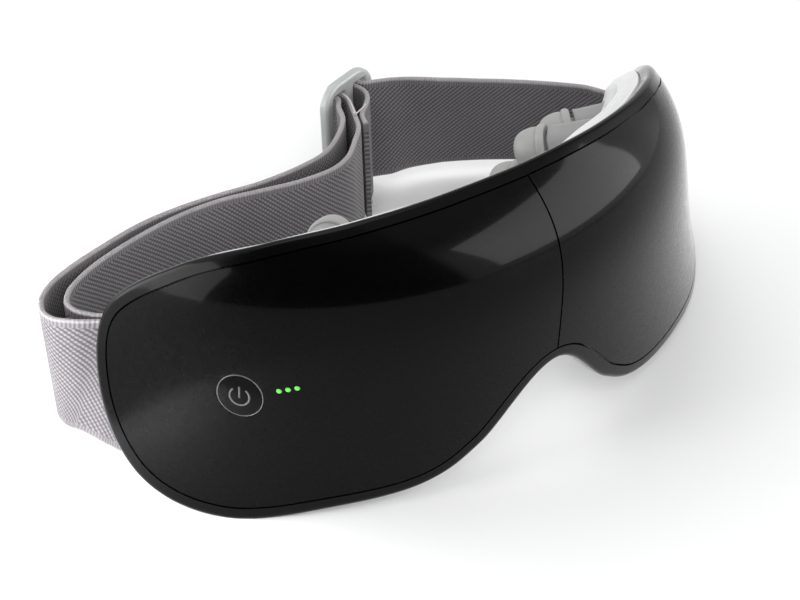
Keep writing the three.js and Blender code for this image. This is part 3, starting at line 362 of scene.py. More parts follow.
def join(*meshes):
    points, faces, start = [], [], 0
    for p, f in meshes:
        points.append(np.asarray(p, float))
        faces += [tuple(i + start for i in one) for one in f]
        start += len(p)
    return np.vstack(points), faces


def build(name, mesh, sharp=35, weld=1e-4):
    """A new object, in metres, with its faces turned out and its edges sharp beyond an angle."""
    points, faces = mesh
    data = bpy.data.meshes.new(name)
    data.from_pydata(((np.asarray(points, float) + SHIFT) * MM).tolist(), [], faces)
    bm = bmesh.new()
    bm.from_mesh(data)
    if weld:
        bmesh.ops.remove_doubles(bm, verts=bm.verts, dist=weld * MM)
        flat = [f for f in bm.faces if f.calc_area() < 1e-14]
        bmesh.ops.delete(bm, geom=flat, context="FACES_ONLY")
    bmesh.ops.recalc_face_normals(bm, faces=bm.faces)
    bm.to_mesh(data)
    bm.free()
    data.shade_smooth()
    if sharp:
        data.set_sharp_from_angle(angle=sharp * DEG)
    return added(name, data)


def frozen(obj):
    """The mesh that an object's modifiers or its curve give."""
    depsgraph = bpy.context.evaluated_depsgraph_get()
    return bpy.data.meshes.new_from_object(obj.evaluated_get(depsgraph))


def settle(obj):
    """Applies an object's modifiers to its mesh."""
    mesh = frozen(obj)
    obj.modifiers.clear()
    old = obj.data
    obj.data = mesh
    bpy.data.meshes.remove(old)
    mesh.name = obj.name


def drop(obj):
    data = obj.data
    bpy.data.objects.remove(obj)
    bpy.data.meshes.remove(data)


def carve(obj, tools):
    """Cuts each tool out of an object."""
    for tool in tools:
        cutter = build("cutter", tool, sharp=0)
        modifier = obj.modifiers.new("cut", "BOOLEAN")
        modifier.operation = "DIFFERENCE"
        modifier.solver = "EXACT"
        modifier.object = cutter
        settle(obj)
        drop(cutter)


def rounded_edges(obj, width, material=-1):
    """Rounds the sharp edges and keeps the broad faces' normals."""
    bevel = obj.modifiers.new("rounding", "BEVEL")
    bevel.width = width * MM
    bevel.segments = 3
    bevel.limit_method = "ANGLE"
    bevel.angle_limit = 50 * DEG
    bevel.miter_outer = "MITER_ARC"
    bevel.use_clamp_overlap = True
    bevel.material = material
    settle(obj)
    obj.data.shade_smooth()
    weigh(obj)


def weigh(obj):
    weighted = obj.modifiers.new("weighted", "WEIGHTED_NORMAL")
    weighted.mode = "FACE_AREA"
    weighted.weight = 80
    weighted.keep_sharp = True


def filleted(profile, radius, steps=4):
    """A profile with its inner corners rounded by up to a radius."""
    p = np.array(profile, float)
    out = [p[0]]
    for a, b, c in zip(p[:-2], p[1:-1], p[2:]):
        before, after = a - b, c - b
        la, lc = np.linalg.norm(before), np.linalg.norm(after)
        reach = min(radius, la * 0.45, lc * 0.45)
        start, end = b + before / la * reach, b + after / lc * reach
        for k in range(steps + 1):
            w = k / steps
            out.append(start * (1 - w) ** 2 + b * 2 * w * (1 - w) + end * w * w)
    out.append(p[-1])
    return out


def circle(radius, z, sides):
    a = np.arange(sides) * 2 * math.pi / sides
    return np.stack([radius * np.cos(a), radius * np.sin(a), np.full(sides, float(z))], -1)


def turned(profile, sides=48):
    """A surface turned round Z from points of radius and height."""
    return skin([circle(r, z, sides) for r, z in profile])


def moved(mesh, m):
    return placed(m, mesh[0]), mesh[1]


def rod(radius, start, end, sides=48):
    return turned([(0, start), (radius, start), (radius, end), (0, end)], sides)


def box(low, high):
    x, y, z = zip(low, high)
    points = [(x[i], y[j], z[k]) for i in (0, 1) for j in (0, 1) for k in (0, 1)]
    faces = [(0, 1, 3, 2), (4, 6, 7, 5), (0, 4, 5, 1), (2, 3, 7, 6), (0, 2, 6, 4), (1, 5, 7, 3)]
    return np.array(points, float), faces


# Materials

def principled(material):
    return material.node_tree.nodes["Principled BSDF"]


def shader(name, color, rough, metal=0.0, **sockets):
    """A material with a Principled shader. The sockets are set on the shader itself."""
    material = bpy.data.materials.new(name)
    material.use_nodes = True
    bsdf = principled(material)
    bsdf.inputs["Base Color"].default_value = (*color, 1)
    bsdf.inputs["Roughness"].default_value = rough
    bsdf.inputs["Metallic"].default_value = metal
    for key, value in sockets.items():
        bsdf.inputs[key.replace("_", " ")].default_value = value
    return material


def node(material, kind, **values):
    made = material.node_tree.nodes.new(kind)
    for key, value in values.items():
        if key in made.inputs:
            made.inputs[key].default_value = value
        else:
            setattr(made, key, value)
    return made


def link(material, a, out, b, into):
    material.node_tree.links.new(a.outputs[out], b.inputs[into])


def noise(material, scale, detail=3.0, rough=0.5):
    where = node(material, "ShaderNodeTexCoord")
    mapping = node(material, "ShaderNodeMapping")
    texture = node(material, "ShaderNodeTexNoise", Scale=scale, Detail=detail, Roughness=rough)
    link(material, where, "Object", mapping, "Vector")
    link(material, mapping, "Vector", texture, "Vector")
    return texture


def ramped(material, value, start, end, low=0.0, high=1.0, kind="SMOOTHSTEP"):
    made = node(material, "ShaderNodeMapRange", interpolation_type=kind)
    link(material, *value, made, "Value")
    for key, number in (("From Min", start), ("From Max", end), ("To Min", low), ("To Max", high)):
        made.inputs[key].default_value = number
    return made, "Result"


def tinted(material, source, out, low, high):
    """Maps a texture's value to a range between two colours."""
    ramp = node(material, "ShaderNodeValToRGB")
    for stop, place, color in zip(ramp.color_ramp.elements, (0.3, 0.7), (low, high)):
        stop.position = place
        stop.color = (*color, 1)
    link(material, source, out, ramp, "Fac")
    link(material, ramp, "Color", principled(material), "Base Color")


def plastic(name, low, high, rough, spread=0.04, grain=0.0, size=900, metal=0.0, **sockets):
    """Moulded material with slight mottling, uneven gloss and a fine grain."""
    material = shader(name, low, rough, metal, **sockets)
    broad = noise(material, 60, 4)
    tinted(material, broad, "Fac", low, high)
    fine = noise(material, 350, 5, 0.6)
    uneven = ramped(material, (fine, "Fac"), 0.35, 0.65, rough - spread, rough + spread, "LINEAR")
    link(material, *uneven, principled(material), "Roughness")
    if grain:
        source = noise(material, size, 3)
        bump = node(material, "ShaderNodeBump", Strength=0.4, Distance=grain * MM)
        link(material, source, "Fac", bump, "Height")
        link(material, bump, "Normal", principled(material), "Normal")
    return material


GLOSS = plastic(
    "panel_gloss", (0.0006, 0.0006, 0.0008), (0.001, 0.001, 0.0012), 0.28, 0.03,
    IOR=1.1, Coat_Weight=1.0, Coat_Roughness=0.075, Coat_IOR=1.15,
)
RIM = plastic(
    "bezel_gloss", (0.0008, 0.0008, 0.001), (0.0015, 0.0015, 0.0017), 0.25, 0.03,
    IOR=1.12, Coat_Weight=1.0, Coat_Roughness=0.08, Coat_IOR=1.16,
)
# Lighter colour for the panels' rounded edges: a painted highlight line along them
PAINTED_EDGE_HIGHLIGHT = plastic("panel_edge_painted_highlight", (0.012, 0.012, 0.0125), (0.03, 0.03, 0.031), 0.22, 0.05)
SHELL = plastic("shell_white", (0.74, 0.74, 0.745), (0.78, 0.78, 0.785), 0.34, 0.05, 0.015)
SILICONE = plastic(
    "silicone_grey", (0.345, 0.345, 0.337), (0.385, 0.385, 0.377), 0.5, 0.06, 0.02, 1500, IOR=1.41,
)
COLLAR = plastic("silicone_collar", (0.265, 0.268, 0.265), (0.3, 0.302, 0.298), 0.5, 0.06, 0.02, 1500)
PAD = plastic("pad_cover", (0.30, 0.305, 0.30), (0.38, 0.38, 0.375), 0.62, 0.06, 0.06, 700)
PIPING = plastic("pad_piping", (0.2, 0.2, 0.2), (0.26, 0.26, 0.26), 0.6, 0.06, 0.04, 1200)
BUCKLE_GREY = plastic("buckle_plastic", (0.43, 0.45, 0.44), (0.48, 0.495, 0.485), 0.38, 0.06, 0.02, 1100)
STEEL = plastic("plated_steel", (0.52, 0.53, 0.54), (0.6, 0.6, 0.6), 0.3, 0.08, 0.01, 1500, 1.0)
DARK = plastic("dark_plastic", (0.018, 0.018, 0.02), (0.03, 0.03, 0.032), 0.5, 0.08, 0.03)
BOARD = plastic("board_green", (0.008, 0.09, 0.03), (0.012, 0.12, 0.045), 0.4, 0.08, 0.02)
FOIL = plastic("cell_foil", (0.45, 0.47, 0.5), (0.55, 0.56, 0.58), 0.3, 0.1, 0.1, 300, 0.8)
AMBER = plastic("amber_film", (0.35, 0.13, 0.02), (0.45, 0.18, 0.03), 0.35, 0.08, 0.02)
TUBE = plastic("clear_tube", (0.6, 0.62, 0.62), (0.68, 0.7, 0.7), 0.3, 0.05, 0.02)
MARK = plastic("button_mark", (0.075, 0.075, 0.08), (0.095, 0.095, 0.1), 0.45, 0.05)
# A lighter grey ring that paints the highlight on the power button's rounded rim
BUTTON_HIGHLIGHT_RING = plastic("button_painted_highlight_ring", (0.10, 0.10, 0.10), (0.14, 0.14, 0.14), 0.28, 0.05)
GREEN = plastic(
    "lamp_green", (0.05, 0.35, 0.04), (0.07, 0.42, 0.05), 0.3, 0.05,
    Emission_Color=(0.14, 0.5, 0.09, 1), Emission_Strength=0.8,
)
THREAD = plastic("sewing_thread", (0.62, 0.56, 0.56), (0.74, 0.69, 0.69), 0.7, 0.05, 0.02, 2500)


def maths(material, operation, *values):
    """A Math node on inputs that are each a number or a node with its output's name."""
    made = node(material, "ShaderNodeMath", operation=operation)
    for index, value in enumerate(values):
        if isinstance(value, tuple):
            link(material, *value, made, index)
        else:
            made.inputs[index].default_value = value
    return made, "Value"


def mixed(material, share, low, high):
    """A colour between two, each a colour or a node with its output's name."""
    made = node(material, "ShaderNodeMix", data_type="RGBA")
    link(material, *share, made, 0)
    for index, value in ((6, low), (7, high)):
        if isinstance(value[0], float):
            made.inputs[index].default_value = (*value, 1)
        else:
            link(material, *value, made, index)
    return made, 2


WEAVE = Sizes(row=1.7, dash=1.5, rib=0.85, selvedge=16.6, edge=18.3, wander=1.6)


def webbing_material():
    """Diagonal rows of yarn between ribbed selvedges and a painted highlight on both rims, by an attribute of
    millimetres across and along.
    """
    material = shader("webbing", (0.2, 0.19, 0.2), 0.75, 0.0, Sheen_Weight=0.25, Sheen_Roughness=0.4)
    bsdf = principled(material)
    place = node(material, "ShaderNodeAttribute", attribute_name="weave")
    parts = node(material, "ShaderNodeSeparateXYZ")
    link(material, place, "Vector", parts, "Vector")
    across, along = (parts, "X"), (parts, "Y")
    wander = noise(material, 900, 3)

    def wave(value, pitch):
        turned_once = maths(material, "MULTIPLY", value, 2 * math.pi / pitch)
        shaken = maths(material, "MULTIPLY_ADD", (wander, "Fac"), WEAVE.wander, turned_once)
        sine = maths(material, "COSINE", shaken)
        return maths(material, "MULTIPLY", maths(material, "ADD", sine, 1.0), 0.5)

    row = wave(maths(material, "ADD", across, along), WEAVE.row)
    dash = wave(maths(material, "SUBTRACT", across, along), WEAVE.dash)
    body = maths(material, "MULTIPLY", row, ramped(material, dash, 0.0, 0.7, 0.45, 1.0))
    rib = wave(along, WEAVE.rib)
    side = maths(material, "ABSOLUTE", across)
    at_edge = ramped(material, side, WEAVE.selvedge - 0.25, WEAVE.selvedge + 0.25)
    # The outermost band on each side gets a paler colour: a painted highlight on the webbing's rounded rims
    painted_rim_highlight = ramped(material, side, WEAVE.edge - 0.4, WEAVE.edge + 0.3)
    broad = noise(material, 45, 4)
    # The yarn and the ribs are darker where the relief is low: painted shade in the hollows of the weave
    yarn = mixed(material, ramped(material, body, 0.12, 0.75), (0.075, 0.07, 0.075), (0.225, 0.212, 0.222))
    border = mixed(material, rib, (0.11, 0.103, 0.109), (0.2, 0.19, 0.198))
    cloth = mixed(material, at_edge, yarn, border)
    cloth_with_painted_highlight = mixed(material, painted_rim_highlight, cloth, (0.36, 0.34, 0.35))
    shade = mixed(material, ramped(material, (broad, "Fac"), 0.3, 0.7), (0.86, 0.86, 0.87), (1.0, 0.99, 1.0))
    final = node(material, "ShaderNodeMix", data_type="RGBA", blend_type="MULTIPLY")
    final.inputs[0].default_value = 1
    link(material, *cloth_with_painted_highlight, final, 6)
    link(material, *shade, final, 7)
    link(material, final, 2, bsdf, "Base Color")
    height = node(material, "ShaderNodeMix", data_type="FLOAT")
    for index, value in ((0, at_edge), (2, body), (3, rib)):
        link(material, *value, height, index)
    relief = node(material, "ShaderNodeBump", Strength=0.9, Distance=0.2 * MM)
    link(material, height, 0, relief, "Height")
    link(material, relief, "Normal", bsdf, "Normal")
    return material


WEB = webbing_material()


def finish_piece(obj, material, slot, *nodes, body="visor"):
    if not obj.data.materials:
        obj.data.materials.append(material)
    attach(obj, body)
    if nodes:
        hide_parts(*nodes)


# Front: rim and two panels

FULL = np.arange(400) / 400
HALF = np.linspace(0, 0.5, 201)
FLOOR_CUT = box((-150, -100, -60), (150, 250, 0))


def make_bezel():
    b = BEZEL
    lip = b.lip
    arc = [math.pi / 2 * k / 8 for k in range(9)]
    edge = [(lip - lip * math.sin(a), b.round - b.round * math.cos(a)) for a in arc]
    section = [
        (b.band, 0.0), ((b.band + lip) / 2, 0.0), *edge, (0, b.depth), (lip, b.depth),
        (lip + b.step, b.ledge_back), (b.ledge, b.ledge_back), (b.ledge, b.ledge_top),
        (b.band, b.ledge_top),
    ]
    obj = build("bezel", skin([ring(FULL, inset, 0, depth) for inset, depth in section], loop=True))
    carve(obj, [FLOOR_CUT])
    rounded_edges(obj, b.edge)
    finish_piece(obj, RIM, "bezel", "front_bezel")


def make_panel(side, name):
    inset = BEZEL.band + PANEL.groove
    pulls = np.linspace(1, 0, 26)
    rows = []
    for depth, order in ((0.0, pulls), (PANEL.thickness, pulls[::-1])):
        for pull in order:
            s0, z0 = outline(HALF, inset)
            s1, z1 = ridge(HALF)
            s = np.maximum(s0 + (s1 - s0) * pull, PANEL.seam / 2)
            rows.append(at(side * s, z0 + (z1 - z0) * pull, depth))
    points, faces = skin(rows, wrap=False)
    count, last = len(HALF), len(rows) - 1
    for column in (0, count - 1):
        for i in range(len(pulls) - 1):
            front = (i * count + column, (i + 1) * count + column)
            back = ((last - i - 1) * count + column, (last - i) * count + column)
            faces.append((*front, *back))
    return build(name, (points, faces))


def lamp_places():
    rise = LAMP.rise * DEG
    for k in range(LAMP.count):
        away = LAMP.first + k * LAMP.pitch
        yield seat(BUTTON.arc + away * math.cos(rise), BUTTON.height + away * math.sin(rise))


def make_front():
    make_bezel()
    right = make_panel(1, "panel_right")
    left = make_panel(-1, "panel_left")
    button = seat(BUTTON.arc, BUTTON.height)
    holes = [moved(rod(BUTTON.radius + BUTTON.slit, -2, 4, 96), button)]
    holes += [moved(rod(LAMP.radius + LAMP.room, -2, 4, 32), m) for m in lamp_places()]
    carve(left, holes)
    for obj, node_name in ((right, "right_front_panel"), (left, "left_front_panel")):
        obj.data.materials.append(GLOSS)
        obj.data.materials.append(PAINTED_EDGE_HIGHLIGHT)
        # The rounded edges take the second material, whose lighter colour paints a highlight line
        rounded_edges(obj, PANEL.edge, material=1)
        finish_piece(obj, GLOSS, "panel", node_name)


# Power button and its lights

def make_button():
    b = BUTTON
    under = PANEL.thickness + 2 * VISOR.gap
    top = [(b.radius * k / 10, b.crown * ((k / 10) ** 2 - 1)) for k in range(10)]
    profile = [
        *top, (b.radius - 0.3, -0.02), (b.radius, 0.25), (b.radius, under),
        (b.radius + b.reach, under), (b.radius + b.reach, under + b.flange),
        (STEM.radius, under + b.flange), (STEM.radius, STEM.end), (0, STEM.end),
    ]
    here = seat(b.arc, b.height)
    obj = build("button_cap", moved(turned(filleted(profile, 0.3), 96), here))
    weigh(obj)
    finish_piece(obj, GLOSS, "panel", "power_button", body="button")

    def strip(*rows):
        crown = [b.crown * ((row ** 2).sum(-1) / b.radius ** 2 - 1) - SIGN.proud for row in rows]
        return skin([np.column_stack(pair) for pair in zip(rows, crown)], wrap=False)

    gap = SIGN.gap * DEG
    a = np.linspace(gap, 2 * math.pi - gap, 64) - math.pi / 2
    way = np.column_stack([np.cos(a), np.sin(a)])
    y = np.linspace(SIGN.bar_low, SIGN.bar_high, 10)
    bar = strip(*(np.column_stack([np.full(10, x), y]) for x in (-SIGN.bar_half, SIGN.bar_half)))
    arc = strip(way * SIGN.inner, way * SIGN.outer)
    mark = build("button_mark", moved(join(arc, bar), here))
    thick = mark.modifiers.new("thickness", "SOLIDIFY")
    thick.thickness = SIGN.thickness * MM
    thick.offset = 0
    settle(mark)
    finish_piece(mark, MARK, "light", body="button")

    # A thin lighter ring round the cap's rim paints the highlight that its rounded edge catches
    middle = b.radius - b.edge_inset
    rows = [circle(middle + x, b.edge_depth + y, 120) for x, y, _ in circle(b.edge_half, 0, 10)]
    edge = build("button_painted_highlight_ring", moved(skin(rows, loop=True), here), sharp=0)
    finish_piece(edge, BUTTON_HIGHLIGHT_RING, "light", body="button")


def make_lamps():
    radius, length, high = LAMP.radius, LAMP.length, LAMP.dome
    dome = [(radius * math.sin(a), high - high * math.cos(a)) for a in np.linspace(0, math.pi / 2, 8)]
    for k, m in enumerate(lamp_places(), 1):
        obj = build(f"lamp_{k}", moved(turned([*dome, (radius, length), (0, length)], 32), m))
        finish_piece(obj, GREEN, "light", f"light_pipe_{k}")


# Rear shell

def rim_depth():
    return BEZEL.depth + VISOR.gap


def open_share(s):
    u = np.minimum(np.abs(s) / HOUSING.nose_span, 1)
    return HOUSING.nose_share + (1 - HOUSING.nose_share) * u * u * (3 - 2 * u)


def flank_rows():
    """The shell's rows, with smooth ones in between."""
    shares = np.array(FLANK_SHARES, float)
    fine = open_curve(shares[:8], 5)
    return np.vstack([np.clip(fine, 0, 1), shares[8:]])


def shell_row(row, inside):
    pull, shoulder, depth, thick = row
    wall = HOUSING.wall if inside else 0.0
    full = max((HOUSING.depth - rim_depth()) * depth - wall * thick, 0.0)
    return ring(
        FULL, HOUSING.shoulder * shoulder - HOUSING.rim_proud + wall, pull,
        lambda s, z: rim_depth() + full * open_share(s),
    )


def socket_radius():
    return NUB.flange + VISOR.gap + NUB.wall


def socket_mouth(nub):
    return nub.reach - NUB.cap - NUB.bead_width - NUB.head_gap


def slot_tool(side):
    s = side * SLOT.arc + np.linspace(-0.5, 0.5, 13) * SLOT.length
    low = SLOT.level - SLOT.height / 2
    high = SLOT.level + SLOT.height / 2
    corners = ((low, SLOT.front), (high, SLOT.front), (high, SLOT.back), (low, SLOT.back))
    points, faces = skin([at(s, z, depth) for z, depth in corners], wrap=False, loop=True)
    n = len(s)
    return points, faces + [tuple(k * n for k in range(4)), tuple(k * n + n - 1 for k in range(4))]


def port_frame():
    t = turn(PORT.arc)
    x, y = (math.cos(t), math.sin(t), 0), (-math.sin(t), math.cos(t), 0)
    return axes(x, y, (0, 0, 1), at(PORT.arc, PORT.level, PORT.depth))


def make_shell():
    rows = flank_rows()
    outer = [shell_row(row, False) for row in rows]
    inner = [shell_row(row, True) for row in rows[::-1]]
    obj = build("rear_shell", skin([*outer, *inner]))
    room = VISOR.gap
    tools = [slot_tool(side) for side in (-1, 1)]
    for side in (-1, 1):
        for nub in NUBS:
            hole = rod(socket_radius() + room, nub.wall - nub.inside - room, socket_mouth(nub))
            tools.append(moved(hole, spoke(nub, side)))
    half = (PORT.width / 2 + room, PORT.thickness / 2 + room, PORT.height)
    tools += [moved(box([-v for v in half], half), port_frame()), FLOOR_CUT]
    carve(obj, tools)
    rounded_edges(obj, HOUSING.edge)
    finish_piece(obj, SHELL, "shell", "rear_housing")


# Massage nubs in their collars

def make_nub(nub, name, m):
    n = NUB
    groove = n.groove
    mouth = socket_mouth(nub)
    bead = nub.reach - n.cap - n.bead_width
    base = bead + n.bead_width
    foot = mouth - n.lip - VISOR.gap - n.travel - n.flange_thickness
    over = foot + n.flange_thickness
    profile = [
        (0, foot), (n.flange, foot), (n.flange, over), (n.stem, over), (n.stem, bead),
        (n.bead - n.neck, bead), (n.bead, bead + n.bead_width * 0.3),
        (n.bead, bead + n.bead_width * 0.75), (n.bead - groove, base - 0.2),
        (n.radius - groove, base - 0.1), (n.radius - groove * 0.5, base + 0.2),
    ]
    start = base + 0.5
    dome = [
        (n.radius * math.cos(a) ** 0.6, start + (nub.reach - start) * math.sin(a) ** 0.9)
        for a in np.linspace(0.02, math.pi / 2, 22)
    ]
    dome[-1] = (0, nub.reach)
    obj = build(f"{name}_massage_nub", moved(turned([*filleted(profile, 0.5), *dome], 64), m))
    weigh(obj)
    finish_piece(obj, SILICONE, "silicone", f"{name}_nub", body=name)

    bore = n.flange + VISOR.gap
    lip = n.stem + VISOR.gap
    outer, taper = socket_radius(), n.taper
    low = nub.wall - nub.inside
    sleeve = [
        (bore, low), (outer, low), (outer, mouth - 3 * taper), (outer + taper, mouth - taper),
        (outer - taper, mouth), (lip, mouth), (lip, mouth - n.lip), (bore, mouth - n.lip), (bore, low),
    ]
    obj = build(f"{name}_collar", moved(turned(filleted(sleeve, 0.5), 64), m))
    weigh(obj)
    finish_piece(obj, COLLAR, "silicone", f"{name}_socket")

    wide, narrow, low = BELLOWS.radius, BELLOWS.radius - BELLOWS.fold, BELLOWS.start
    top = foot - VISOR.gap
    pitch = (top - low) / BELLOWS.pleats
    pleats = [(0, low), (narrow, low)]
    for k in range(BELLOWS.pleats):
        pleats += [(wide, low + (k + 0.5) * pitch), (narrow, low + (k + 1) * pitch)]
    pleats.append((0, top))
    obj = build(f"{name}_air_bellows", moved(turned(filleted(pleats, 0.5), 32), m))
    finish_piece(obj, TUBE, "bellows", f"{name}_bellows")


def make_nubs():
    for side, where in ((-1, "left"), (1, "right")):
        for nub in NUBS:
            make_nub(nub, f"{where}_{nub.name}", spoke(nub, side))


# Pads on the wearer's side

def back_at(s, z):
    """Depth of the shell's back at a place."""
    share = abs(s) / VISOR.half_arc
    spine = spine_level(s)

    def edge(order):
        for (near, a), (far, b) in zip(order, order[1:]):
            if share <= far:
                return (a + (b - a) * (share - near) / (far - near)) * VISOR.height
        return HOUSING.spine_height

    if z > spine:
        border = edge(OUTLINE_SHARES[:6]) - HOUSING.shoulder
    else:
        border = edge(OUTLINE_SHARES[:4:-1]) + HOUSING.shoulder
    pull = min(max((z - border) / (spine - border), 0), 1)
    rows = [row for row in FLANK_SHARES if row[1] == 1]
    k = next((i for i, row in enumerate(rows) if i > 0 and pull >= row[0]), 1)
    (p0, _, d0, _), (p1, _, d1, _) = rows[k - 1], rows[k]
    depth = d1 + (d0 - d1) * (pull - p1) / (p0 - p1)
    return rim_depth() + (HOUSING.depth - rim_depth()) * depth * float(open_share(s))


def puffed(obj, held):
    """Swells a closed form as padded fabric does. Points that the test holds stay where they are."""
    p = PUFF
    remesh = obj.modifiers.new("even_mesh", "REMESH")
    remesh.mode = "VOXEL"
    remesh.voxel_size = p.voxel * MM
    settle(obj)
    count = len(obj.data.vertices)
    start = np.empty(count * 3)
    obj.data.vertices.foreach_get("co", start)
    start = start.reshape(-1, 3)
    group = obj.vertex_groups.new(name="held")
    group.add([int(i) for i in np.nonzero(held(start / MM - SHIFT))[0]], 1.0, "REPLACE")
    cloth = obj.modifiers.new("cloth", "CLOTH")
    cloth.settings.use_pressure = True
    cloth.settings.uniform_pressure_force = p.pressure
    cloth.settings.effector_weights.gravity = 0
    cloth.settings.vertex_group_mass = "held"
    cloth.collision_settings.use_collision = False
    cloth.point_cache.frame_start = 1
    cloth.point_cache.frame_end = p.frames
    for step in range(1, p.frames + 1):
        bpy.context.scene.frame_set(step)
    settled = obj.evaluated_get(bpy.context.evaluated_depsgraph_get()).data
    after = np.empty(count * 3)
    settled.vertices.foreach_get("co", after)
    way = after.reshape(-1, 3) - start
    far = np.linalg.norm(way, axis=1, keepdims=True)
    way *= np.minimum(1, p.most * MM / np.maximum(far, 1e-9))
    obj.modifiers.clear()
    obj.vertex_groups.clear()
    obj.data.vertices.foreach_set("co", (start + way).ravel())
    bpy.context.scene.frame_set(1)
    smooth = obj.modifiers.new("finer", "SUBSURF")
    smooth.levels = 1
    settle(obj)
    obj.data.shade_smooth()


def make_pads():
    c = CUSHION
    shares = [
        (0, 0, 0), (0.6, 0, 0), (0.9, 0, 0), (0.985, 0.12, 0), (1, 0.4, 0), (0.985, 0.7, 0), (0.93, 0.9, 0),
        (0.8, 1, 0.15), (0.55, 1, 0.6), (0.28, 1, 0.9), (0, 1, 1),
    ]
    fine = open_curve(shares, 4)
    a = np.arange(72) * 2 * math.pi / 72
    oval = [np.sign(v) * np.abs(v) ** CORNER_POWER for v in (np.cos(a), np.sin(a))]

    def hoop(side, size, *lifts):
        s = side * (c.arc + c.half_length * size * oval[0])
        z = c.level + c.half_height * size * oval[1]
        depth = np.array([back_at(*p) for p in zip(s, z)]) + c.seat
        for lift in lifts:
            depth = depth + lift
        return at(s, z, depth)

    for side, where in ((-1, "left"), (1, "right")):
        rows = [hoop(side, size, c.thickness * rise, c.crown * crown) for size, rise, crown in fine]
        obj = build(f"{where}_pad", skin(rows))
        middle = seat(side * c.arc, c.level)
        base = float(back_at(side * c.arc, c.level)) + c.seat + c.held
        puffed(obj, lambda points: (points - middle[:3, 3]) @ middle[:3, 2] < base)
        finish_piece(obj, PAD, "cushion", f"{where}_eye_cushion")

        loop = []
        for x, y, _ in circle(c.piping, 0, 12):
            size = c.piping_size + x / c.half_height
            loop.append(hoop(side, size, c.thickness * c.piping_rise, y))
        piping = build(f"{where}_pad_piping", skin(loop, loop=True), sharp=0)
        finish_piece(piping, PIPING, "cushion")


# Strap and buckle

def up_wing(side, arc):
    t = turn(arc)
    lean = (VISOR.brow_lean + VISOR.wing_lean * (arc / VISOR.bend_arc) ** 2) / VISOR.lean_span
    return np.array([-side * math.sin(t) * lean, math.cos(t) * lean, 1.0])


def buckle_frame():
    a = BUCKLE.angle * DEG
    x, y = (math.cos(a), math.sin(a), 0), (0, 0, 1)
    return axes(x, y, np.cross(x, y), (BUCKLE.x, BUCKLE.y, BUCKLE.level))


def strap_points():
    """The webbing's middle line from above, each point with the sideways slant of its width."""
    level = STRAP.level

    def wing(side, points):
        return [(*at(side * s, level, d)[:2], *up_wing(side, s)[:2]) for s, d in points]

    def free(name):
        out = []
        for (x, y), share in zip(STRAP_ROUTE[name], LEAN_SHARES[name]):
            way = unit(np.array([-x, STRAP.head_depth - y], float))
            out.append((x, y, *(way * math.tan(STRAP.lean * DEG) * share)))
        return out

    def in_buckle(points):
        return [(*placed(buckle_frame(), (a, 0, b))[:2], 0, 0) for a, b in points]

    def round_bar(side, outwards):
        r = BAR.radius + VISOR.gap + STRAP.thickness / 2
        t = turn(BAR.arc)
        centre = at(side * BAR.arc, level, BAR.depth)
        angles = [90, 126, 162, 198, 234, 270]
        out = []
        for degrees in angles if outwards else angles[::-1]:
            along, deep = r * math.cos(degrees * DEG), r * math.sin(degrees * DEG)
            x = centre[0] + side * (along * math.cos(t) - deep * math.sin(t))
            y = centre[1] + along * math.sin(t) + deep * math.cos(t)
            out.append((x, y, *up_wing(side, BAR.arc)[:2]))
        return out

    route = STRAP_ROUTE
    return np.array([
        *wing(1, route["right_tail"]), *round_bar(1, True), *wing(1, route["right_wing"]), *free("right"),
        *in_buckle(route["thread"]), *free("outer"), *wing(-1, route["left_out"]), *round_bar(-1, False),
        *wing(-1, route["left_in"]), *free("inner"), *in_buckle(route["loop"]),
    ])


def make_strap():
    points = strap_points()
    samples = 8
    line = open_curve(points[:, :2], samples)
    spans = len(points) - 1
    way = np.linspace(0, spans, spans * samples + 1)
    slant = np.column_stack([np.interp(way, np.arange(len(points)), points[:, k]) for k in (2, 3)])
    middle = np.column_stack([line, np.full(len(line), STRAP.level)])
    tangent = unit(np.gradient(middle, axis=0))
    up = unit(np.column_stack([slant, np.ones(len(line))]))
    flat = unit(np.cross(up, tangent))
    travelled = np.concatenate([[0], np.cumsum(np.linalg.norm(np.diff(middle, axis=0), axis=1))])

    half, thick = STRAP.width / 2, STRAP.thickness / 2
    across = np.linspace(-1, 1, 39) * (half - thick)
    quarter = math.pi / 2
    arc = np.linspace(-quarter, quarter, 9)
    edge = [(half - thick + thick * math.cos(a), thick * math.sin(a)) for a in arc]
    section = [(v, -thick) for v in across[:-1]] + edge + [(v, thick) for v in across[::-1][1:-1]]
    section += [(-v, -w) for v, w in edge]
    rows = [middle + up * a + flat * b for a, b in section]
    rows = np.swapaxes(np.array(rows), 0, 1)
    mesh_points, faces = skin(rows)
    n = len(section)
    last = (len(rows) - 1) * n
    faces += [tuple(range(n)), tuple(last + k for k in range(n))]
    obj = build("webbing", (mesh_points, faces), sharp=60, weld=0)
    where = obj.data.attributes.new("weave", "FLOAT_VECTOR", "POINT")
    sides = np.tile([a for a, _ in section], len(rows))
    lengths = np.repeat(travelled, n)
    where.data.foreach_set("vector", np.column_stack([sides, lengths, np.zeros(len(sides))]).ravel())
    finish_piece(obj, WEB, "webbing", "head_strap")


def rounded_outline(x, y, corner, centre=0.0, steps=8):
    points = []
    for cx, cy, start in ((x, y, 0), (-x, y, 90), (-x, -y, 180), (x, -y, 270)):
        for k in range(steps + 1):
            a = (start + 90 * k / steps) * DEG
            points.append((
                centre + math.copysign(abs(cx) - corner, cx) + corner * math.cos(a),
                math.copysign(abs(cy) - corner, cy) + corner * math.sin(a),
            ))
    return points


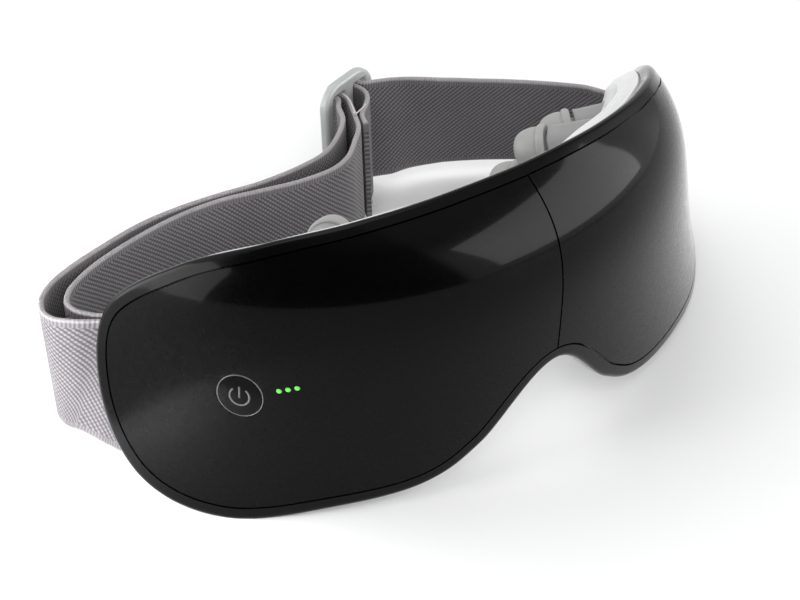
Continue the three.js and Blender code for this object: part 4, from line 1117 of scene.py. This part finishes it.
def make_buckle():
    b = BUCKLE
    bevel = b.bevel
    outlines = [rounded_outline(b.length / 2 - bevel, b.height / 2 - bevel, b.corner - bevel / 2)]
    inner = b.centre_bar / 2 - bevel
    outer = b.length / 2 - b.outer_bar + bevel
    for side in (-1, 1):
        outlines.append(rounded_outline(
            (outer - inner) / 2, b.height / 2 - b.end_bar + bevel, b.window_corner + bevel / 2,
            side * (inner + outer) / 2,
        ))
    curve = bpy.data.curves.new("buckle_curve", "CURVE")
    curve.dimensions = "2D"
    curve.fill_mode = "BOTH"
    curve.extrude = (b.thickness / 2 - bevel) * MM
    curve.bevel_depth = bevel * MM
    curve.bevel_resolution = 4
    for points in outlines:
        spline = curve.splines.new("POLY")
        spline.points.add(len(points) - 1)
        spline.use_cyclic_u = True
        for target, (x, y) in zip(spline.points, points):
            target.co = (x * MM, y * MM, 0, 1)
    source = added("buckle_source", curve)
    mesh = frozen(source)
    bpy.data.objects.remove(source)
    points = np.array([v.co for v in mesh.vertices]) / MM
    faces = [tuple(p.vertices) for p in mesh.polygons]
    bpy.data.meshes.remove(mesh)
    obj = build("tri_glide", (placed(buckle_frame(), points), faces), sharp=50)
    weigh(obj)
    finish_piece(obj, BUCKLE_GREY, "buckle", "strap_buckle")


def tube(points, radius, sides=8):
    """A round thread along points, closed at both ends."""
    p = open_curve(points, 4)
    way = unit(np.gradient(p, axis=0))
    first = unit(np.cross(way, [0.31, 0.17, 0.94]))
    second = np.cross(way, first)
    a = (np.arange(sides) * 2 * math.pi / sides)[:, None, None]
    rows = np.swapaxes(p + radius * (np.cos(a) * first + np.sin(a) * second), 0, 1)
    ends = [np.repeat(p[i][None], sides, axis=0)[None] for i in (0, -1)]
    return skin(np.concatenate([ends[0], rows, ends[1]]))


def make_stitches():
    """The sewing that holds the folded end of the webbing, with its thread's end over the top edge."""
    m = buckle_frame()
    t = TACK
    bend, stitch, dip = t.bend, t.stitch, t.dip
    seams = []
    for shift in (-t.apart / 2, t.apart / 2):
        a, b = t.place[0] - shift * t.slope[0], t.place[1] + shift * t.slope[1]
        for z in np.arange(-t.reach, t.reach, t.pitch):
            ends = [(a, z, b - dip), (a, z + bend, b), (a, z + stitch - bend, b), (a, z + stitch, b - dip)]
            seams.append(tube(placed(m, ends), t.radius))
    obj = build("tail_stitches", join(*seams), sharp=0)
    finish_piece(obj, THREAD, "webbing")

    top = STRAP.width / 2 + STRAP.level - BUCKLE.level
    k = KNOT
    a = np.linspace(0, k.turn * math.pi, 22)
    rise = k.climb * a + k.sway * np.sin(k.sway_rate * a)
    knot = np.column_stack([k.radius * np.cos(a), rise, k.radius * np.sin(a)]) + k.place
    upper = [STRANDS["over"], STRANDS["across"], knot]
    lines = [np.array(line) + (0, top, 0) for line in upper]
    lines.append(np.array(STRANDS["loose"]) + (0, top - STRAP.width, 0))
    obj = build("thread_end", join(*(tube(placed(m, line), t.strand) for line in lines)), sharp=0)
    finish_piece(obj, THREAD, "webbing")


make_front()
make_button()
make_lamps()
make_shell()
make_nubs()
make_pads()
make_strap()
make_buckle()
make_stitches()

# Materials of the solids that stay
KEPT = (
    (DARK, ("inner_chassis", "button_switch", "pump_head", "air_valve", "left_speaker", "right_speaker")),
    (STEEL, tuple(f"chassis_screw_{k}" for k in (1, 2, 3, 4))),
    (STEEL, ("pump_motor", "pump_crank", "valve_plunger", "charging_port")),
    (STEEL, ("left_strap_bar", "right_strap_bar")),
    (BOARD, ("control_board",)),
    (FOIL, ("battery",)),
    (TUBE, ("left_air_hose", "right_air_hose")),
    (AMBER, ("left_heating_film", "right_heating_film")),
)
for material, node_name in ((material, name) for material, names in KEPT for name in names):
    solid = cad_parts[node_name]
    if not solid.data.materials:
        solid.data.materials.append(material)
    for slot_here in solid.material_slots:
        slot_here.material = material


# Stage and light

FLOOR_SIZE = 4.0
# Strength of the studio light from each side
WORLD = Sizes(right=1.6, left=0.8, rear=0.8, top=0.3, base=0.05)
# Each lamp's place, aim and size in metres, its power, and the kind of light it doesn't give
LIGHTS = (
    ("left_card", (-1.0, 0.62, 0.26), (-0.1, 0.05, 0.05), (1.1, 0.6), 9, "visible_diffuse"),
    ("left_fill", (-0.19, 0.05, 0.045), (-0.1, 0.09, 0.022), (0.05, 0.04), 0.24, "visible_glossy"),
    ("front_fill", (-0.8, -1.2, 1.6), (0, 0, 0), (1.2, 1.2), 17, "visible_glossy"),
    ("top_box", (-0.3, 0.9, 2.2), (0, 0.05, 0), (1.4, 1.4), 11, None),
    ("right_card", (0.97, -1.05, 0.85), (0, 0, 0.05), (2.2, 1.4), 60, "visible_diffuse"),
)


def make_stage():
    ground = shader("floor_white", (0.95, 0.95, 0.95), 0.6, 0.0, Specular_IOR_Level=0.2)
    tinted(ground, noise(ground, 3, 2), "Fac", (0.945, 0.947, 0.95), (0.955, 0.957, 0.96))
    data = bpy.data.meshes.new("floor")
    corners = [(FLOOR_SIZE * x, FLOOR_SIZE * y, 0) for x, y in ((-1, -1), (1, -1), (1, 1), (-1, 1))]
    data.from_pydata(corners, [], [(0, 1, 2, 3)])
    data.materials.append(ground)
    added("floor", data)


def make_light(name, place, aim, size, power, without):
    data = bpy.data.lights.new(name, "AREA")
    data.shape = "RECTANGLE"
    data.size, data.size_y = size
    data.energy = power
    obj = added(name, data)
    facing = (Vector(aim) - Vector(place)).to_track_quat("-Z", "Y").to_matrix().to_4x4()
    obj.matrix_world = Matrix.Translation(Vector(place) + Vector(SHIFT * MM)) @ facing
    obj.visible_camera = False
    if without:
        setattr(obj, without, False)


def make_world():
    """Light by direction: a bright wall at the right, one behind at the left, dark before the visor."""
    world = bpy.data.worlds.new("studio")
    world.use_nodes = True
    background = world.node_tree.nodes["Background"]
    place = node(world, "ShaderNodeTexCoord")

    def side(way, start, end):
        dot = node(world, "ShaderNodeVectorMath", operation="DOT_PRODUCT")
        link(world, place, "Generated", dot, 0)
        dot.inputs[1].default_value = way
        return ramped(world, (dot, "Value"), start, end)

    def product(*values):
        out = values[0]
        for value in values[1:]:
            out = maths(world, "MULTIPLY", out, value)
        return out

    right = product(
        side((0.976, 0, 0.217), -0.03, 0.05), side((0, -1, 0), -0.35, 0.0),
        maths(world, "SUBTRACT", 1.0, product(side((0, 0, 1), 0.45, 0.85), 0.75)), WORLD.right,
    )
    left = product(
        side((0.208, 0.978, 0), -0.03, 0.06), side((-1, 0, 0), 0.15, 0.45),
        side((0, 0, -1), -0.8, -0.5), WORLD.left,
    )
    rear = product(side((0, 1, 0), 0.1, 0.6), WORLD.rear)
    top = product(side((0, 0, 1), 0.75, 0.97), WORLD.top)
    total = maths(world, "ADD", maths(world, "ADD", right, left), maths(world, "ADD", rear, top))
    total = maths(world, "ADD", total, WORLD.base)
    link(world, *total, background, "Strength")
    background.inputs["Color"].default_value = (1, 1, 1, 1)
    bpy.context.scene.world = world


make_stage()
make_world()
for light in LIGHTS:
    make_light(*light)
bpy.context.scene.view_settings.view_transform = "Standard"
